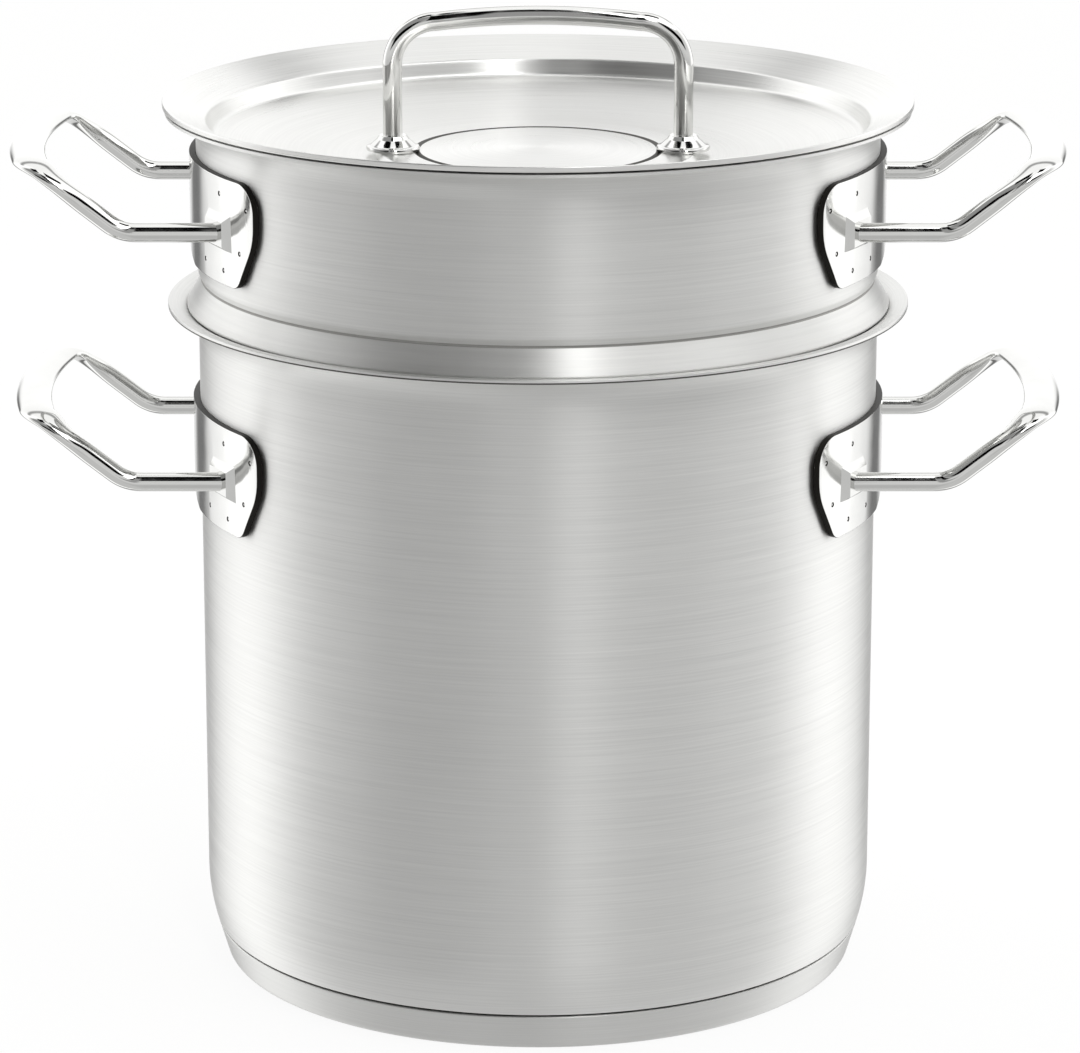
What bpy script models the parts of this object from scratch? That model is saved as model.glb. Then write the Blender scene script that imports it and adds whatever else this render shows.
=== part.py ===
"""Tall pasta pot in stainless steel: a pot, a strainer insert that hangs in it, and a lid.

Metres, +Z up. The origin is the centre of the base, on the surface that the pot stands on,
and the handles point along X. Each shell is a closed wall section (r, z) spun about Z.
A section's path runs from the axis outwards and up, so its left side is the inside.
"""

from math import asin, ceil, cos, degrees, pi, radians, sin, sqrt, tan

import bmesh
import bpy
from mathutils import Matrix, Vector

# Fits
CLEARANCE = 0.0003
SEAT_CLEARANCE = 0.00045

# Shells
SEGMENTS = 48
BODY_RADIUS = 0.1200
WALL = 0.0010
RIM_HEIGHT = 0.2410
RIM_ROLL_RADIUS = 0.0100
RIM_LAND = 0.0007
HEEL_TAPER_HEIGHT = 0.0330
HEEL_TAPER_ANGLE = 16.0
SEAM_HEIGHT = 0.0146
SEAM_STEP = 0.0016
FLOOR_CORNER_RADIUS = 0.0090

# Capsule base
BASE_SET_IN = 0.0062
CAP_SHEET = 0.0010
CAP_FOOT_RADIUS = 0.0025
CORE_THICKNESS = 0.0065
CORE_SET_IN = 0.0140

# Strainer insert
INSERT_RISE = 0.0685
CREASE_RISE = 0.0085
CREASE_DEPTH = 0.0015
NECK_LENGTH = 0.0040
BEAD_REACH = 0.0042
BASKET_GAP = 0.0050
SHOULDER_DROP = 0.0060
BASKET_FLOOR_HEIGHT = 0.0450
BASKET_CORNER_RADIUS = 0.0120
WALL_HOLE_DIAMETER = 0.0070
WALL_HOLE_ROW_PITCH = 0.0270
WALL_HOLES_DROP = 0.0460
FLOOR_HOLE_DIAMETER = 0.0070
FLOOR_HOLE_MARGIN = 0.0160
FLOOR_HOLE_RINGS = 3
HOLE_SIDES = 6

# Lid
LID_OVERHANG = 0.0015
LID_SHEET = 0.0008
LID_HEM_WIDTH = 0.0012
LID_HEM_DEPTH = 0.0009
LID_FLANGE_ANGLE = 25.8
LID_STEP_GAP = 0.0030
LID_STEP_DEPTH = 0.0048
LID_STEP_DRAFT = 0.0020
LID_PANEL_SAG = 0.0085
LID_BOSS_RADIUS = 0.0550
LID_BOSS_RISE = 0.0010
LID_DISC_RADIUS = 0.0415
LID_GROOVE_WIDTH = 0.0018
LID_GROOVE_DEPTH = 0.0008
LID_DISC_CROWN = 0.0010

# Side handles, each a bar whose middle is flattened into a grip
BAR_DIAMETER = 0.0067
BAR_SPACING = 0.1110
POT_BAR_DROP = 0.0540
INSERT_BAR_DROP = 0.0346
HANDLE_LENGTH = 0.0644
GRIP_WIDTH = 0.0124
GRIP_THICKNESS = 0.0046
GRIP_RISE = 0.0222
GRIP_CORNER_RADIUS = 0.0160
GRIP_BOW = 0.0012
GRIP_WIDENING = 0.0220
ARM_SLOPE = 38.0
ARM_BEND_LENGTH = 0.0225
LOWER_BEND_RADIUS = 0.0150
UPPER_BEND_RADIUS = 0.0120
BAR_SIDES = 8

# Handle brackets: heights from the bar's axis, angles from the X axis
PLATE_THICKNESS = 0.0015
PLATE_TOP = 0.0197
PLATE_BOTTOM = -0.0175
PLATE_NOTCH_RISE = 0.0048
PLATE_NOTCH_ANGLE = 13.0
PLATE_NOTCH_FLOOR_ANGLE = 3.0
PLATE_HALF_ANGLE = 38.3
PLATE_TIP_ANGLE = 33.3
PLATE_TOP_CORNER = 0.0100
PLATE_SIDE_CORNER = 0.0200
PLATE_TIP_CORNER = 0.0055
PLATE_NOTCH_CORNER = 0.0100
SEAT_RISE = 0.0022
SEAT_HALF_WIDTH = 0.0066
SEAT_TOP = 0.0042
SEAT_BOTTOM = -0.0042
SEAT_CHAMFER = 0.0032

# Lid handle
LID_BAR_DIAMETER = 0.0068
LID_BAR_SPACING = 0.1020
LID_BAR_HEIGHT = 0.0475
LID_BAR_CORNER_RADIUS = 0.0155
LID_BAR_ARCH = 0.0022
FOOT_DIAMETER = 0.0190
FOOT_HEIGHT = 0.0024
FOOT_RIM = 0.0008
FOOT_NECK_DIAMETER = 0.0100
FOOT_SEGMENTS = 24

# Sizes worked out from those above
SEGMENT_ANGLE = 360.0 / SEGMENTS
RIM_INNER_RADIUS = RIM_ROLL_RADIUS + WALL
RIM_CENTRE_RADIUS = BODY_RADIUS + RIM_ROLL_RADIUS
INSERT_RIM_HEIGHT = RIM_HEIGHT + INSERT_RISE
CREASE_HEIGHT = RIM_HEIGHT + CREASE_RISE
POT_BAR_HEIGHT = RIM_HEIGHT - POT_BAR_DROP
INSERT_BAR_HEIGHT = INSERT_RIM_HEIGHT - INSERT_BAR_DROP
BASE_RADIUS = BODY_RADIUS - BASE_SET_IN
CORE_RADIUS = BODY_RADIUS - CORE_SET_IN
BEAD_RADIUS = BODY_RADIUS + BEAD_REACH
BASKET_RADIUS = BODY_RADIUS - BASKET_GAP
LID_RADIUS = RIM_CENTRE_RADIUS + LID_OVERHANG
LID_STEP_RADIUS = BODY_RADIUS - LID_STEP_GAP
HANDLE_REACH = BODY_RADIUS + HANDLE_LENGTH
ARM_BEND_REACH = BODY_RADIUS + ARM_BEND_LENGTH
BODY_FLOOR_HEIGHT = CAP_SHEET + CORE_THICKNESS + 2 * CLEARANCE
HEEL_RADIUS = (HEEL_TAPER_HEIGHT - SEAM_HEIGHT) / sin(radians(HEEL_TAPER_ANGLE))
SEAM_RADIUS = BODY_RADIUS - HEEL_RADIUS * (1.0 - cos(radians(HEEL_TAPER_ANGLE)))
PLATE_INNER_RADIUS = BODY_RADIUS + CLEARANCE
PLATE_OUTER_RADIUS = PLATE_INNER_RADIUS + PLATE_THICKNESS
SEAT_DISTANCE = PLATE_OUTER_RADIUS + SEAT_RISE
SEAT_ANGLE = degrees(asin(BAR_SPACING / 2 / SEAT_DISTANCE))


def on_arc(centre, radius, start, end, steps):
    """Points of an arc about a centre, from one angle to another in degrees."""
    angles = [radians(start + (end - start) * i / steps) for i in range(steps + 1)]
    return [(centre[0] + radius * cos(a), centre[1] + radius * sin(a)) for a in angles]


def offset_path(path, distance):
    """The path moved by a distance to its left, with mitred corners."""
    points = [Vector(p) for p in path]
    ways = [(b - a).normalized() for a, b in zip(points, points[1:])]
    moved = []
    for i, point in enumerate(points):
        first = ways[max(i - 1, 0)]
        second = ways[min(i, len(ways) - 1)]
        mitre = Vector((-first.y - second.y, first.x + second.x)).normalized()
        reach = distance / mitre.dot(Vector((-first.y, first.x)))
        moved.append((max(point.x + mitre.x * reach, 0.0), point.y + mitre.y * reach))
    return moved


def rounded_path(corners, steps):
    """The open path through corners (x, y, radius), each turned on its own radius."""
    path = [corners[0][:2]]
    for before, corner, after in zip(corners, corners[1:], corners[2:]):
        here = Vector(corner[:2])
        back = (Vector(before[:2]) - here).normalized()
        ahead = (Vector(after[:2]) - here).normalized()
        half = back.angle(ahead) / 2.0
        radius = corner[2]
        centre = here + (back + ahead).normalized() * radius / sin(half)
        start = here + back * radius / tan(half) - centre
        sweep = pi - 2.0 * half
        turn = -sweep if back.cross(ahead) > 0.0 else sweep
        for i in range(steps + 1):
            arm = Matrix.Rotation(turn * i / steps, 2) @ start
            path.append(tuple(centre + arm))
    return path + [corners[-1][:2]]


def sheet_section(path, thickness):
    """Closed section of a sheet whose outer side is the path."""
    return path + offset_path(path, thickness)[::-1]


def metal(name, colour, roughness):
    """A bare metal with a Principled shader."""
    material = bpy.data.materials.new(name)
    material.use_nodes = True
    shader = material.node_tree.nodes["Principled BSDF"]
    shader.inputs["Base Color"].default_value = (*colour, 1.0)
    shader.inputs["Metallic"].default_value = 1.0
    shader.inputs["Roughness"].default_value = roughness
    return material


def finished_mesh(name, bm, material):
    """The mesh of a closed body, facing outwards and smooth but for its edges."""
    bmesh.ops.recalc_face_normals(bm, faces=bm.faces[:])
    mesh = bpy.data.meshes.new(name)
    bm.to_mesh(mesh)
    bm.free()
    mesh.shade_smooth()
    mesh.set_sharp_from_angle(angle=radians(35.0))
    if material is not None:
        mesh.materials.append(material)
    return mesh


def placed(name, mesh, parent, height=0.0, across=0.0, turn=0.0):
    """An object of the mesh at a height above the ground, under its assembly's empty."""
    obj = bpy.data.objects.new(name, mesh)
    bpy.context.scene.collection.objects.link(obj)
    obj.parent = parent
    obj.location = (across, 0.0, height - parent.location.z)
    obj.rotation_euler.z = radians(turn)
    return obj


def turned_mesh(name, section, material, segments=SEGMENTS):
    """A closed section (r, z) spun once about Z, with a flat facing each of X and Y."""
    bm = bmesh.new()
    start = pi / segments
    verts = [bm.verts.new((r * cos(start), r * sin(start), z)) for r, z in section]
    edges = [bm.edges.new((verts[i - 1], verts[i])) for i in range(len(verts))]
    bmesh.ops.spin(
        bm,
        geom=verts + edges,
        cent=(0.0, 0.0, 0.0),
        axis=(0.0, 0.0, 1.0),
        angle=2.0 * pi,
        steps=segments,
    )
    bmesh.ops.remove_doubles(bm, verts=bm.verts[:], dist=1e-6)
    bmesh.ops.dissolve_limit(
        bm, angle_limit=radians(0.01), verts=bm.verts[:], edges=bm.edges[:]
    )
    return finished_mesh(name, bm, material)


def swept_mesh(name, rings, material):
    """A closed skin over rings of points, with a flat cap on each end."""
    bm = bmesh.new()
    loops = [[bm.verts.new(p) for p in ring] for ring in rings]
    for near, far in zip(loops, loops[1:]):
        for i in range(len(near)):
            bm.faces.new((near[i - 1], near[i], far[i], far[i - 1]))
    bm.faces.new(loops[0])
    bm.faces.new(loops[-1])
    return finished_mesh(name, bm, material)


def oval_ring(centre, across, up, width, thickness, sides):
    """Points of an oval about a centre, in the plane of two unit vectors."""
    angles = [2.0 * pi * (i + 0.5) / sides for i in range(sides)]
    return [
        centre + across * (width / 2 * cos(a)) + up * (thickness / 2 * sin(a)) for a in angles
    ]


def rim_path(height):
    """Outer side of a pouring rim, from the straight wall up and out to its lip."""
    centre = (RIM_CENTRE_RADIUS, height - RIM_INNER_RADIUS)
    roll = on_arc(centre, RIM_ROLL_RADIUS, 180.0, 90.0, 5)
    return roll + [(RIM_CENTRE_RADIUS + RIM_LAND, height - WALL)]


def body_section():
    """Pot shell: floor, corner, tapered heel, wall and rim."""
    shoulder = SEAM_RADIUS - SEAM_STEP
    centre = (shoulder - FLOOR_CORNER_RADIUS, BODY_FLOOR_HEIGHT + FLOOR_CORNER_RADIUS)
    rise = (SEAM_HEIGHT - CLEARANCE - centre[1]) / FLOOR_CORNER_RADIUS
    corner = on_arc(centre, FLOOR_CORNER_RADIUS, -90.0, degrees(asin(min(rise, 0.0))), 4)
    heel_centre = (BODY_RADIUS - HEEL_RADIUS, HEEL_TAPER_HEIGHT)
    heel = on_arc(heel_centre, HEEL_RADIUS, -HEEL_TAPER_ANGLE, 0.0, 3)
    floor = [(0.0, BODY_FLOOR_HEIGHT)]
    outer = floor + corner + heel + rim_path(RIM_HEIGHT)
    smooth = floor + corner[:-1] + heel[1:] + rim_path(RIM_HEIGHT)
    return outer + offset_path(smooth, WALL)[::-1]


def core_section():
    """Aluminium disc between the cap's sheet and the pot's floor."""
    low = CAP_SHEET + CLEARANCE
    high = low + CORE_THICKNESS
    return [(0.0, low), (CORE_RADIUS, low), (CORE_RADIUS, high), (0.0, high)]


def cap_section():
    """Pressed steel dish under the core, with its edge just below the seam."""
    centre = (BASE_RADIUS - CAP_FOOT_RADIUS, CAP_FOOT_RADIUS)
    foot = on_arc(centre, CAP_FOOT_RADIUS, -90.0, -15.0, 3)
    edge = (SEAM_RADIUS, SEAM_HEIGHT - 2 * CLEARANCE)
    return sheet_section([(0.0, 0.0)] + foot + [edge], CAP_SHEET)


def insert_section():
    """Insert shell: perforated basket, bead that sits in the pot's rim, neck, wall and rim."""
    corner_centre = (
        BASKET_RADIUS - BASKET_CORNER_RADIUS,
        BASKET_FLOOR_HEIGHT + BASKET_CORNER_RADIUS,
    )
    corner = on_arc(corner_centre, BASKET_CORNER_RADIUS, -90.0, 0.0, 3)
    rim_centre = (RIM_CENTRE_RADIUS, RIM_HEIGHT - RIM_INNER_RADIUS)
    seat_radius = RIM_INNER_RADIUS + SEAT_CLEARANCE
    bead_angle = 90.0 + degrees(asin((RIM_CENTRE_RADIUS - BEAD_RADIUS) / seat_radius))
    bead = on_arc(rim_centre, seat_radius, 165.0, bead_angle, 3)
    path = [
        (0.0, BASKET_FLOOR_HEIGHT),
        *corner,
        (BASKET_RADIUS, rim_centre[1] - SHOULDER_DROP),
        *bead,
        (BODY_RADIUS - CREASE_DEPTH, CREASE_HEIGHT),
        (BODY_RADIUS, CREASE_HEIGHT + NECK_LENGTH),
        *rim_path(INSERT_RIM_HEIGHT),
    ]
    return sheet_section(path, WALL)


def perforation_cutter(parent):
    """Prisms for the basket's holes: staggered rows round the wall, rings in the floor."""
    bm = bmesh.new()

    def add_prism(diameter, place):
        bmesh.ops.create_cone(
            bm,
            cap_ends=True,
            segments=HOLE_SIDES,
            radius1=diameter / 2,
            radius2=diameter / 2,
            depth=6 * WALL,
            matrix=place,
        )

    lowest = BASKET_FLOOR_HEIGHT + BASKET_CORNER_RADIUS + WALL_HOLE_DIAMETER
    rows = ceil((RIM_HEIGHT - WALL_HOLES_DROP - lowest) / WALL_HOLE_ROW_PITCH)
    for row in range(rows):
        height = lowest + row * WALL_HOLE_ROW_PITCH
        for column in range(SEGMENTS // 2):
            angle = radians((2 * column + row % 2) * SEGMENT_ANGLE)
            outwards = Matrix.Rotation(angle, 4, "Z")
            place = Matrix.Translation((BASKET_RADIUS, 0.0, height))
            add_prism(WALL_HOLE_DIAMETER, outwards @ place @ Matrix.Rotation(pi / 2, 4, "Y"))
    flat_radius = BASKET_RADIUS - BASKET_CORNER_RADIUS
    ring_pitch = (flat_radius - FLOOR_HOLE_MARGIN) / FLOOR_HOLE_RINGS
    for ring in range(FLOOR_HOLE_RINGS + 1):
        count = max(6 * ring, 1)
        for i in range(count):
            outwards = Matrix.Rotation(2.0 * pi * i / count, 4, "Z")
            place = Matrix.Translation((ring * ring_pitch, 0.0, BASKET_FLOOR_HEIGHT))
            add_prism(FLOOR_HOLE_DIAMETER, outwards @ place)
    cutter = placed("perforation_cutter", finished_mesh("perforations", bm, None), parent)
    cutter.hide_render = True
    cutter.display_type = "WIRE"
    return cutter


def lid_flange_height(radius):
    """Underside of the lid's sloping flange, which lies on the insert's rolled rim."""
    slope = radians(LID_FLANGE_ANGLE)
    centre_height = INSERT_RIM_HEIGHT - RIM_INNER_RADIUS
    touch = (RIM_INNER_RADIUS + CLEARANCE) / cos(slope)
    return centre_height + touch + (radius - RIM_CENTRE_RADIUS) * tan(slope)


def lid_panel_height():
    """Underside of the lid's raised centre, which the feet stand over."""
    edge = lid_flange_height(LID_STEP_RADIUS) - LID_STEP_DEPTH
    return edge - LID_PANEL_SAG + LID_BOSS_RISE


def lid_section():
    """Lid shell: centre disc, groove, boss, dished panel, step and hemmed flange."""
    boss = lid_panel_height()
    low = boss - LID_BOSS_RISE
    edge_radius = LID_STEP_RADIUS - LID_STEP_DRAFT
    start = LID_BOSS_RADIUS + LID_BOSS_RISE
    panel = []
    for i in range(4):
        share = i / 3
        panel.append((start + (edge_radius - start) * share, low + LID_PANEL_SAG * share**2))
    groove_middle = LID_DISC_RADIUS + LID_GROOVE_WIDTH / 2
    under = [
        (0.0, boss + LID_DISC_CROWN),
        (LID_DISC_RADIUS * 0.6, boss + LID_DISC_CROWN * 0.64),
        (LID_DISC_RADIUS, boss),
        (groove_middle, boss - LID_GROOVE_DEPTH),
        (LID_DISC_RADIUS + LID_GROOVE_WIDTH, boss),
        (LID_BOSS_RADIUS, boss),
        *panel,
        (LID_STEP_RADIUS, lid_flange_height(LID_STEP_RADIUS)),
        (LID_RADIUS, lid_flange_height(LID_RADIUS)),
    ]
    top = offset_path(under, LID_SHEET)
    hem_inner = LID_RADIUS - LID_HEM_WIDTH
    hem = [
        (hem_inner, lid_flange_height(hem_inner)),
        (hem_inner, lid_flange_height(hem_inner) - LID_HEM_DEPTH),
        (LID_RADIUS, lid_flange_height(hem_inner) - LID_HEM_DEPTH),
    ]
    return under[:-1] + hem + [(LID_RADIUS, top[-1][1])] + top[-2::-1]


def foot_base_height():
    """Flat underside of a lid foot, clear of the lid's centre."""
    return lid_panel_height() + LID_SHEET + CLEARANCE


def foot_section():
    """Round flange with a low rim and a sloping shoulder, standing on its own base."""
    return [
        (0.0, 0.0),
        (FOOT_DIAMETER / 2, 0.0),
        (FOOT_DIAMETER / 2, FOOT_RIM),
        (FOOT_NECK_DIAMETER / 2, FOOT_HEIGHT),
        (0.0, FOOT_HEIGHT),
    ]


def lid_bar_mesh(material):
    """Bridge bar of the lid: two legs, rounded corners and a slightly arched top."""
    half = LID_BAR_SPACING / 2
    shoulder = LID_BAR_HEIGHT - LID_BAR_ARCH - LID_BAR_CORNER_RADIUS
    corner_centre = (half - LID_BAR_CORNER_RADIUS, shoulder)
    corner = on_arc(corner_centre, LID_BAR_CORNER_RADIUS, 0.0, 90.0, 6)
    start = foot_base_height() + FOOT_HEIGHT + CLEARANCE - lid_rest_height()
    right = [(half, start)] + corner
    arch = []
    for share in (0.6, 0.3):
        height = LID_BAR_HEIGHT - LID_BAR_ARCH * share**2
        arch.append((corner_centre[0] * share, height))
    path = right + arch
    path += [(0.0, LID_BAR_HEIGHT)]
    path += [(-x, z) for x, z in path[-2::-1]]
    points = [Vector((x, 0.0, z)) for x, z in path]
    side = Vector((0.0, 1.0, 0.0))
    rings = []
    for i, point in enumerate(points):
        along = (points[min(i + 1, len(points) - 1)] - points[max(i - 1, 0)]).normalized()
        rings.append(
            oval_ring(
                point, side, along.cross(side), LID_BAR_DIAMETER, LID_BAR_DIAMETER, BAR_SIDES
            )
        )
    return swept_mesh("lid_handle", rings, material)


def lid_rest_height():
    """Height of the lid's own datum, its centre panel's top, above the ground."""
    return lid_panel_height() + LID_SHEET


def arm_rise(reach):
    """Height of a handle's centre line over its bar axis, at a distance out from Z."""
    slope = radians(ARM_SLOPE)
    lower_run = LOWER_BEND_RADIUS * tan(slope / 2)
    upper_run = UPPER_BEND_RADIUS * tan(slope / 2)
    top_reach = ARM_BEND_REACH + GRIP_RISE / tan(slope)
    if reach <= ARM_BEND_REACH - lower_run:
        return 0.0
    if reach <= ARM_BEND_REACH + lower_run * cos(slope):
        run = reach - ARM_BEND_REACH + lower_run
        return LOWER_BEND_RADIUS - sqrt(LOWER_BEND_RADIUS**2 - run**2)
    if reach <= top_reach - upper_run * cos(slope):
        return (reach - ARM_BEND_REACH) * tan(slope)
    if reach <= top_reach + upper_run:
        run = top_reach + upper_run - reach
        return GRIP_RISE - UPPER_BEND_RADIUS + sqrt(UPPER_BEND_RADIUS**2 - run**2)
    return GRIP_RISE


def handle_plan():
    """Plan points of half a handle, from its bar's end out to the middle of the grip."""
    half = BAR_SPACING / 2
    grip_reach = HANDLE_REACH - GRIP_WIDTH / 2 - GRIP_BOW
    run = LOWER_BEND_RADIUS * tan(radians(ARM_SLOPE) / 2)
    bend = [ARM_BEND_REACH + run * share for share in (-1.0, -0.4, 0.2, 0.8)]
    corner_centre = (grip_reach - GRIP_CORNER_RADIUS, half - GRIP_CORNER_RADIUS)
    corner = on_arc(corner_centre, GRIP_CORNER_RADIUS, 90.0, 0.0, 6)
    bowed = []
    for share in (0.6, 0.3, 0.0):
        bow = GRIP_BOW * (1.0 - share**2)
        bowed.append((grip_reach + bow, corner_centre[1] * share))
    return [(SEAT_DISTANCE, half)] + [(x, half) for x in bend] + corner + bowed


def handle_mesh(material):
    """Side handle along +X with its bar axis at height 0."""
    half_plan = handle_plan()
    plan = half_plan + [(x, -y) for x, y in half_plan[-2::-1]]
    points = [Vector((x, y, arm_rise(x))) for x, y in plan]
    grip_reach = HANDLE_REACH - GRIP_WIDTH / 2 - GRIP_BOW
    rings = []
    for i, point in enumerate(points):
        along = (points[min(i + 1, len(points) - 1)] - points[max(i - 1, 0)]).normalized()
        across = Vector((along.y, -along.x, 0.0)).normalized()
        share = min(max(1.0 - (grip_reach - point.x) / GRIP_WIDENING, 0.0), 1.0)
        share *= share * (3.0 - 2.0 * share)
        width = BAR_DIAMETER + (GRIP_WIDTH - BAR_DIAMETER) * share
        thickness = BAR_DIAMETER + (GRIP_THICKNESS - BAR_DIAMETER) * share
        rings.append(oval_ring(point, across, across.cross(along), width, thickness, BAR_SIDES))
    for ring, way in ((rings[0], 1.0), (rings[-1], -1.0)):
        for point in ring:
            point.x = seat_reach(point.y * way) + CLEARANCE / cos(radians(SEAT_ANGLE))
    return swept_mesh("handle", rings, material)


def seat_reach(across):
    """Distance out along X of a bracket's flat seat, at a distance to the side."""
    angle = radians(SEAT_ANGLE)
    return (SEAT_DISTANCE - across * sin(angle)) / cos(angle)


def plate_outline():
    """Flat outline of a bracket: arc length round the pot, and height."""

    def arc(angle):
        return radians(angle) * PLATE_OUTER_RADIUS

    notch = PLATE_BOTTOM + PLATE_NOTCH_RISE
    right = rounded_path(
        [
            (0.0, PLATE_TOP, 0.0),
            (arc(PLATE_HALF_ANGLE), PLATE_TOP, PLATE_TOP_CORNER),
            (arc(PLATE_HALF_ANGLE), 0.0, PLATE_SIDE_CORNER),
            (arc(PLATE_TIP_ANGLE), PLATE_BOTTOM, PLATE_TIP_CORNER),
            (arc(PLATE_NOTCH_ANGLE), PLATE_BOTTOM, PLATE_NOTCH_CORNER),
            (arc(PLATE_NOTCH_FLOOR_ANGLE), notch, PLATE_NOTCH_CORNER),
            (0.0, notch, 0.0),
        ],
        4,
    )
    return right[1:-1] + [(-s, z) for s, z in right[-2:0:-1]]


def cut_across(bm, place, normal):
    """Adds edges where a plane crosses the mesh."""
    geometry = bm.verts[:] + bm.edges[:] + bm.faces[:]
    bmesh.ops.bisect_plane(bm, geom=geometry, plane_co=place, plane_no=normal, dist=1e-7)


def bracket_mesh(material):
    """Bracket plate round the +X side of a wall, with a raised flat seat for each bar end.

    It is made flat, with x as arc length, y as height and z outwards, and then wrapped.
    """
    bm = bmesh.new()
    bm.faces.new([bm.verts.new((s, z, 0.0)) for s, z in plate_outline()])
    seat = radians(SEAT_ANGLE) * PLATE_OUTER_RADIUS
    for side in (-seat, seat):
        for reach in (SEAT_HALF_WIDTH, SEAT_HALF_WIDTH + SEAT_CHAMFER):
            cut_across(bm, (side - reach, 0.0, 0.0), (1.0, 0.0, 0.0))
            cut_across(bm, (side + reach, 0.0, 0.0), (1.0, 0.0, 0.0))
    for height in (SEAT_BOTTOM - SEAT_CHAMFER, SEAT_BOTTOM, SEAT_TOP, SEAT_TOP + SEAT_CHAMFER):
        cut_across(bm, (0.0, height, 0.0), (0.0, 1.0, 0.0))
    outer = bmesh.ops.extrude_face_region(bm, geom=bm.faces[:])["geom"]
    for vert in [v for v in outer if isinstance(v, bmesh.types.BMVert)]:
        vert.co.z = PLATE_THICKNESS
        beside = abs(abs(vert.co.x) - seat) < SEAT_HALF_WIDTH + 1e-5
        if beside and SEAT_BOTTOM - 1e-5 < vert.co.y < SEAT_TOP + 1e-5:
            vert.co.z += SEAT_RISE
    bmesh.ops.dissolve_limit(
        bm, angle_limit=radians(0.1), verts=bm.verts[:], edges=bm.edges[:]
    )
    for i in range(-SEGMENTS // 4, SEGMENTS // 4):
        place = radians((i + 0.5) * SEGMENT_ANGLE) * PLATE_OUTER_RADIUS
        cut_across(bm, (place, 0.0, 0.0), (1.0, 0.0, 0.0))
    bmesh.ops.triangulate(bm, faces=bm.faces[:])
    for vert in bm.verts:
        angle = vert.co.x / PLATE_OUTER_RADIUS
        radius = PLATE_INNER_RADIUS + vert.co.z
        if vert.co.z > PLATE_THICKNESS + SEAT_RISE - 1e-6:
            radius = SEAT_DISTANCE / cos(abs(angle) - radians(SEAT_ANGLE))
        vert.co = (radius * cos(angle), radius * sin(angle), vert.co.y)
    return finished_mesh("bracket", bm, material)


def assembly(name, height):
    """The empty that a sub-assembly hangs from, on the axis along which it lifts."""
    empty = bpy.data.objects.new(name, None)
    empty.location = (0.0, 0.0, height)
    bpy.context.scene.collection.objects.link(empty)
    return empty


def add_handles(owner, parent, bar_height, handle, bracket):
    """Two handles and their brackets, on the -X and +X sides."""
    for side, turn in (("left", 180.0), ("right", 0.0)):
        placed(f"{owner}_bracket_{side}", bracket, parent, bar_height, turn=turn)
        placed(f"{owner}_handle_{side}", handle, parent, bar_height, turn=turn)


def build():
    for obj in list(bpy.data.objects):
        bpy.data.objects.remove(obj)

    satin = metal("brushed_steel", (0.60, 0.60, 0.59), 0.28)
    inner = metal("insert_steel", (0.62, 0.62, 0.61), 0.26)
    cap = metal("base_steel", (0.58, 0.58, 0.57), 0.30)
    lid_steel = metal("lid_steel", (0.64, 0.64, 0.63), 0.24)
    bright = metal("polished_bar_steel", (0.70, 0.70, 0.69), 0.08)
    plate = metal("polished_plate_steel", (0.68, 0.68, 0.67), 0.10)
    foot = metal("polished_foot_steel", (0.68, 0.68, 0.67), 0.12)
    core = metal("cast_aluminium", (0.78, 0.78, 0.79), 0.45)

    pot = assembly("pot_assembly", 0.0)
    insert = assembly("insert_assembly", RIM_HEIGHT)
    lid = assembly("lid_assembly", lid_rest_height())
    handle = handle_mesh(bright)
    bracket = bracket_mesh(plate)

    placed("pot_body", turned_mesh("pot_body", body_section(), satin), pot)
    placed("base_core", turned_mesh("base_core", core_section(), core), pot)
    placed("base_cap", turned_mesh("base_cap", cap_section(), cap), pot)
    add_handles("pot", pot, POT_BAR_HEIGHT, handle, bracket)

    basket = placed("insert_body", turned_mesh("insert_body", insert_section(), inner), insert)
    holes = basket.modifiers.new("perforations", "BOOLEAN")
    holes.operation = "DIFFERENCE"
    holes.solver = "EXACT"
    holes.object = perforation_cutter(insert)
    add_handles("insert", insert, INSERT_BAR_HEIGHT, handle, bracket)

    placed("lid_shell", turned_mesh("lid_shell", lid_section(), lid_steel), lid)
    placed("lid_handle", lid_bar_mesh(bright), lid, lid_rest_height())
    foot_mesh = turned_mesh("lid_foot", foot_section(), foot, FOOT_SEGMENTS)
    for side, across in (("left", -LID_BAR_SPACING / 2), ("right", LID_BAR_SPACING / 2)):
        placed(f"lid_foot_{side}", foot_mesh, lid, foot_base_height(), across=across)


build()
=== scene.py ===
"""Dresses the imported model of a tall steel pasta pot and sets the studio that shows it.

Metres, +Z up. The origin is the centre of the base, on the surface that the pot stands on.
The side handles point along X and the camera looks from -Y, a little from above.
"""

import logging
from bisect import bisect_left
from collections.abc import Callable, Iterable
from dataclasses import dataclass, field
from enum import Enum
from math import asin, cos, degrees, hypot, pi, radians, sin, sqrt, tan

import bmesh
import bpy
from mathutils import Matrix, Vector


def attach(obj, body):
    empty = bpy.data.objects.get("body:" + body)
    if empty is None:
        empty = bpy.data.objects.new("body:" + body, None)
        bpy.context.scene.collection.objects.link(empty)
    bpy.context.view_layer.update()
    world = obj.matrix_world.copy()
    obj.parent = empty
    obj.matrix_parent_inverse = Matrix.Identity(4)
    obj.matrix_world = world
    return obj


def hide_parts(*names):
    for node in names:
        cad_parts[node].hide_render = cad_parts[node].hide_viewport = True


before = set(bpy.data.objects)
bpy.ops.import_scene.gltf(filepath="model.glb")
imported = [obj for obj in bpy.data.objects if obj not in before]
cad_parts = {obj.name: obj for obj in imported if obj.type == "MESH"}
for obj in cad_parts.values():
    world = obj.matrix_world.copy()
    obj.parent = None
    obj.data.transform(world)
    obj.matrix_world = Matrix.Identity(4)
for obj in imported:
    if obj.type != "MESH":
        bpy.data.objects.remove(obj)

LOG = logging.getLogger("pasta_pot")
PHOTO_WIDTH = 1080
MM = 0.001
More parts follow.
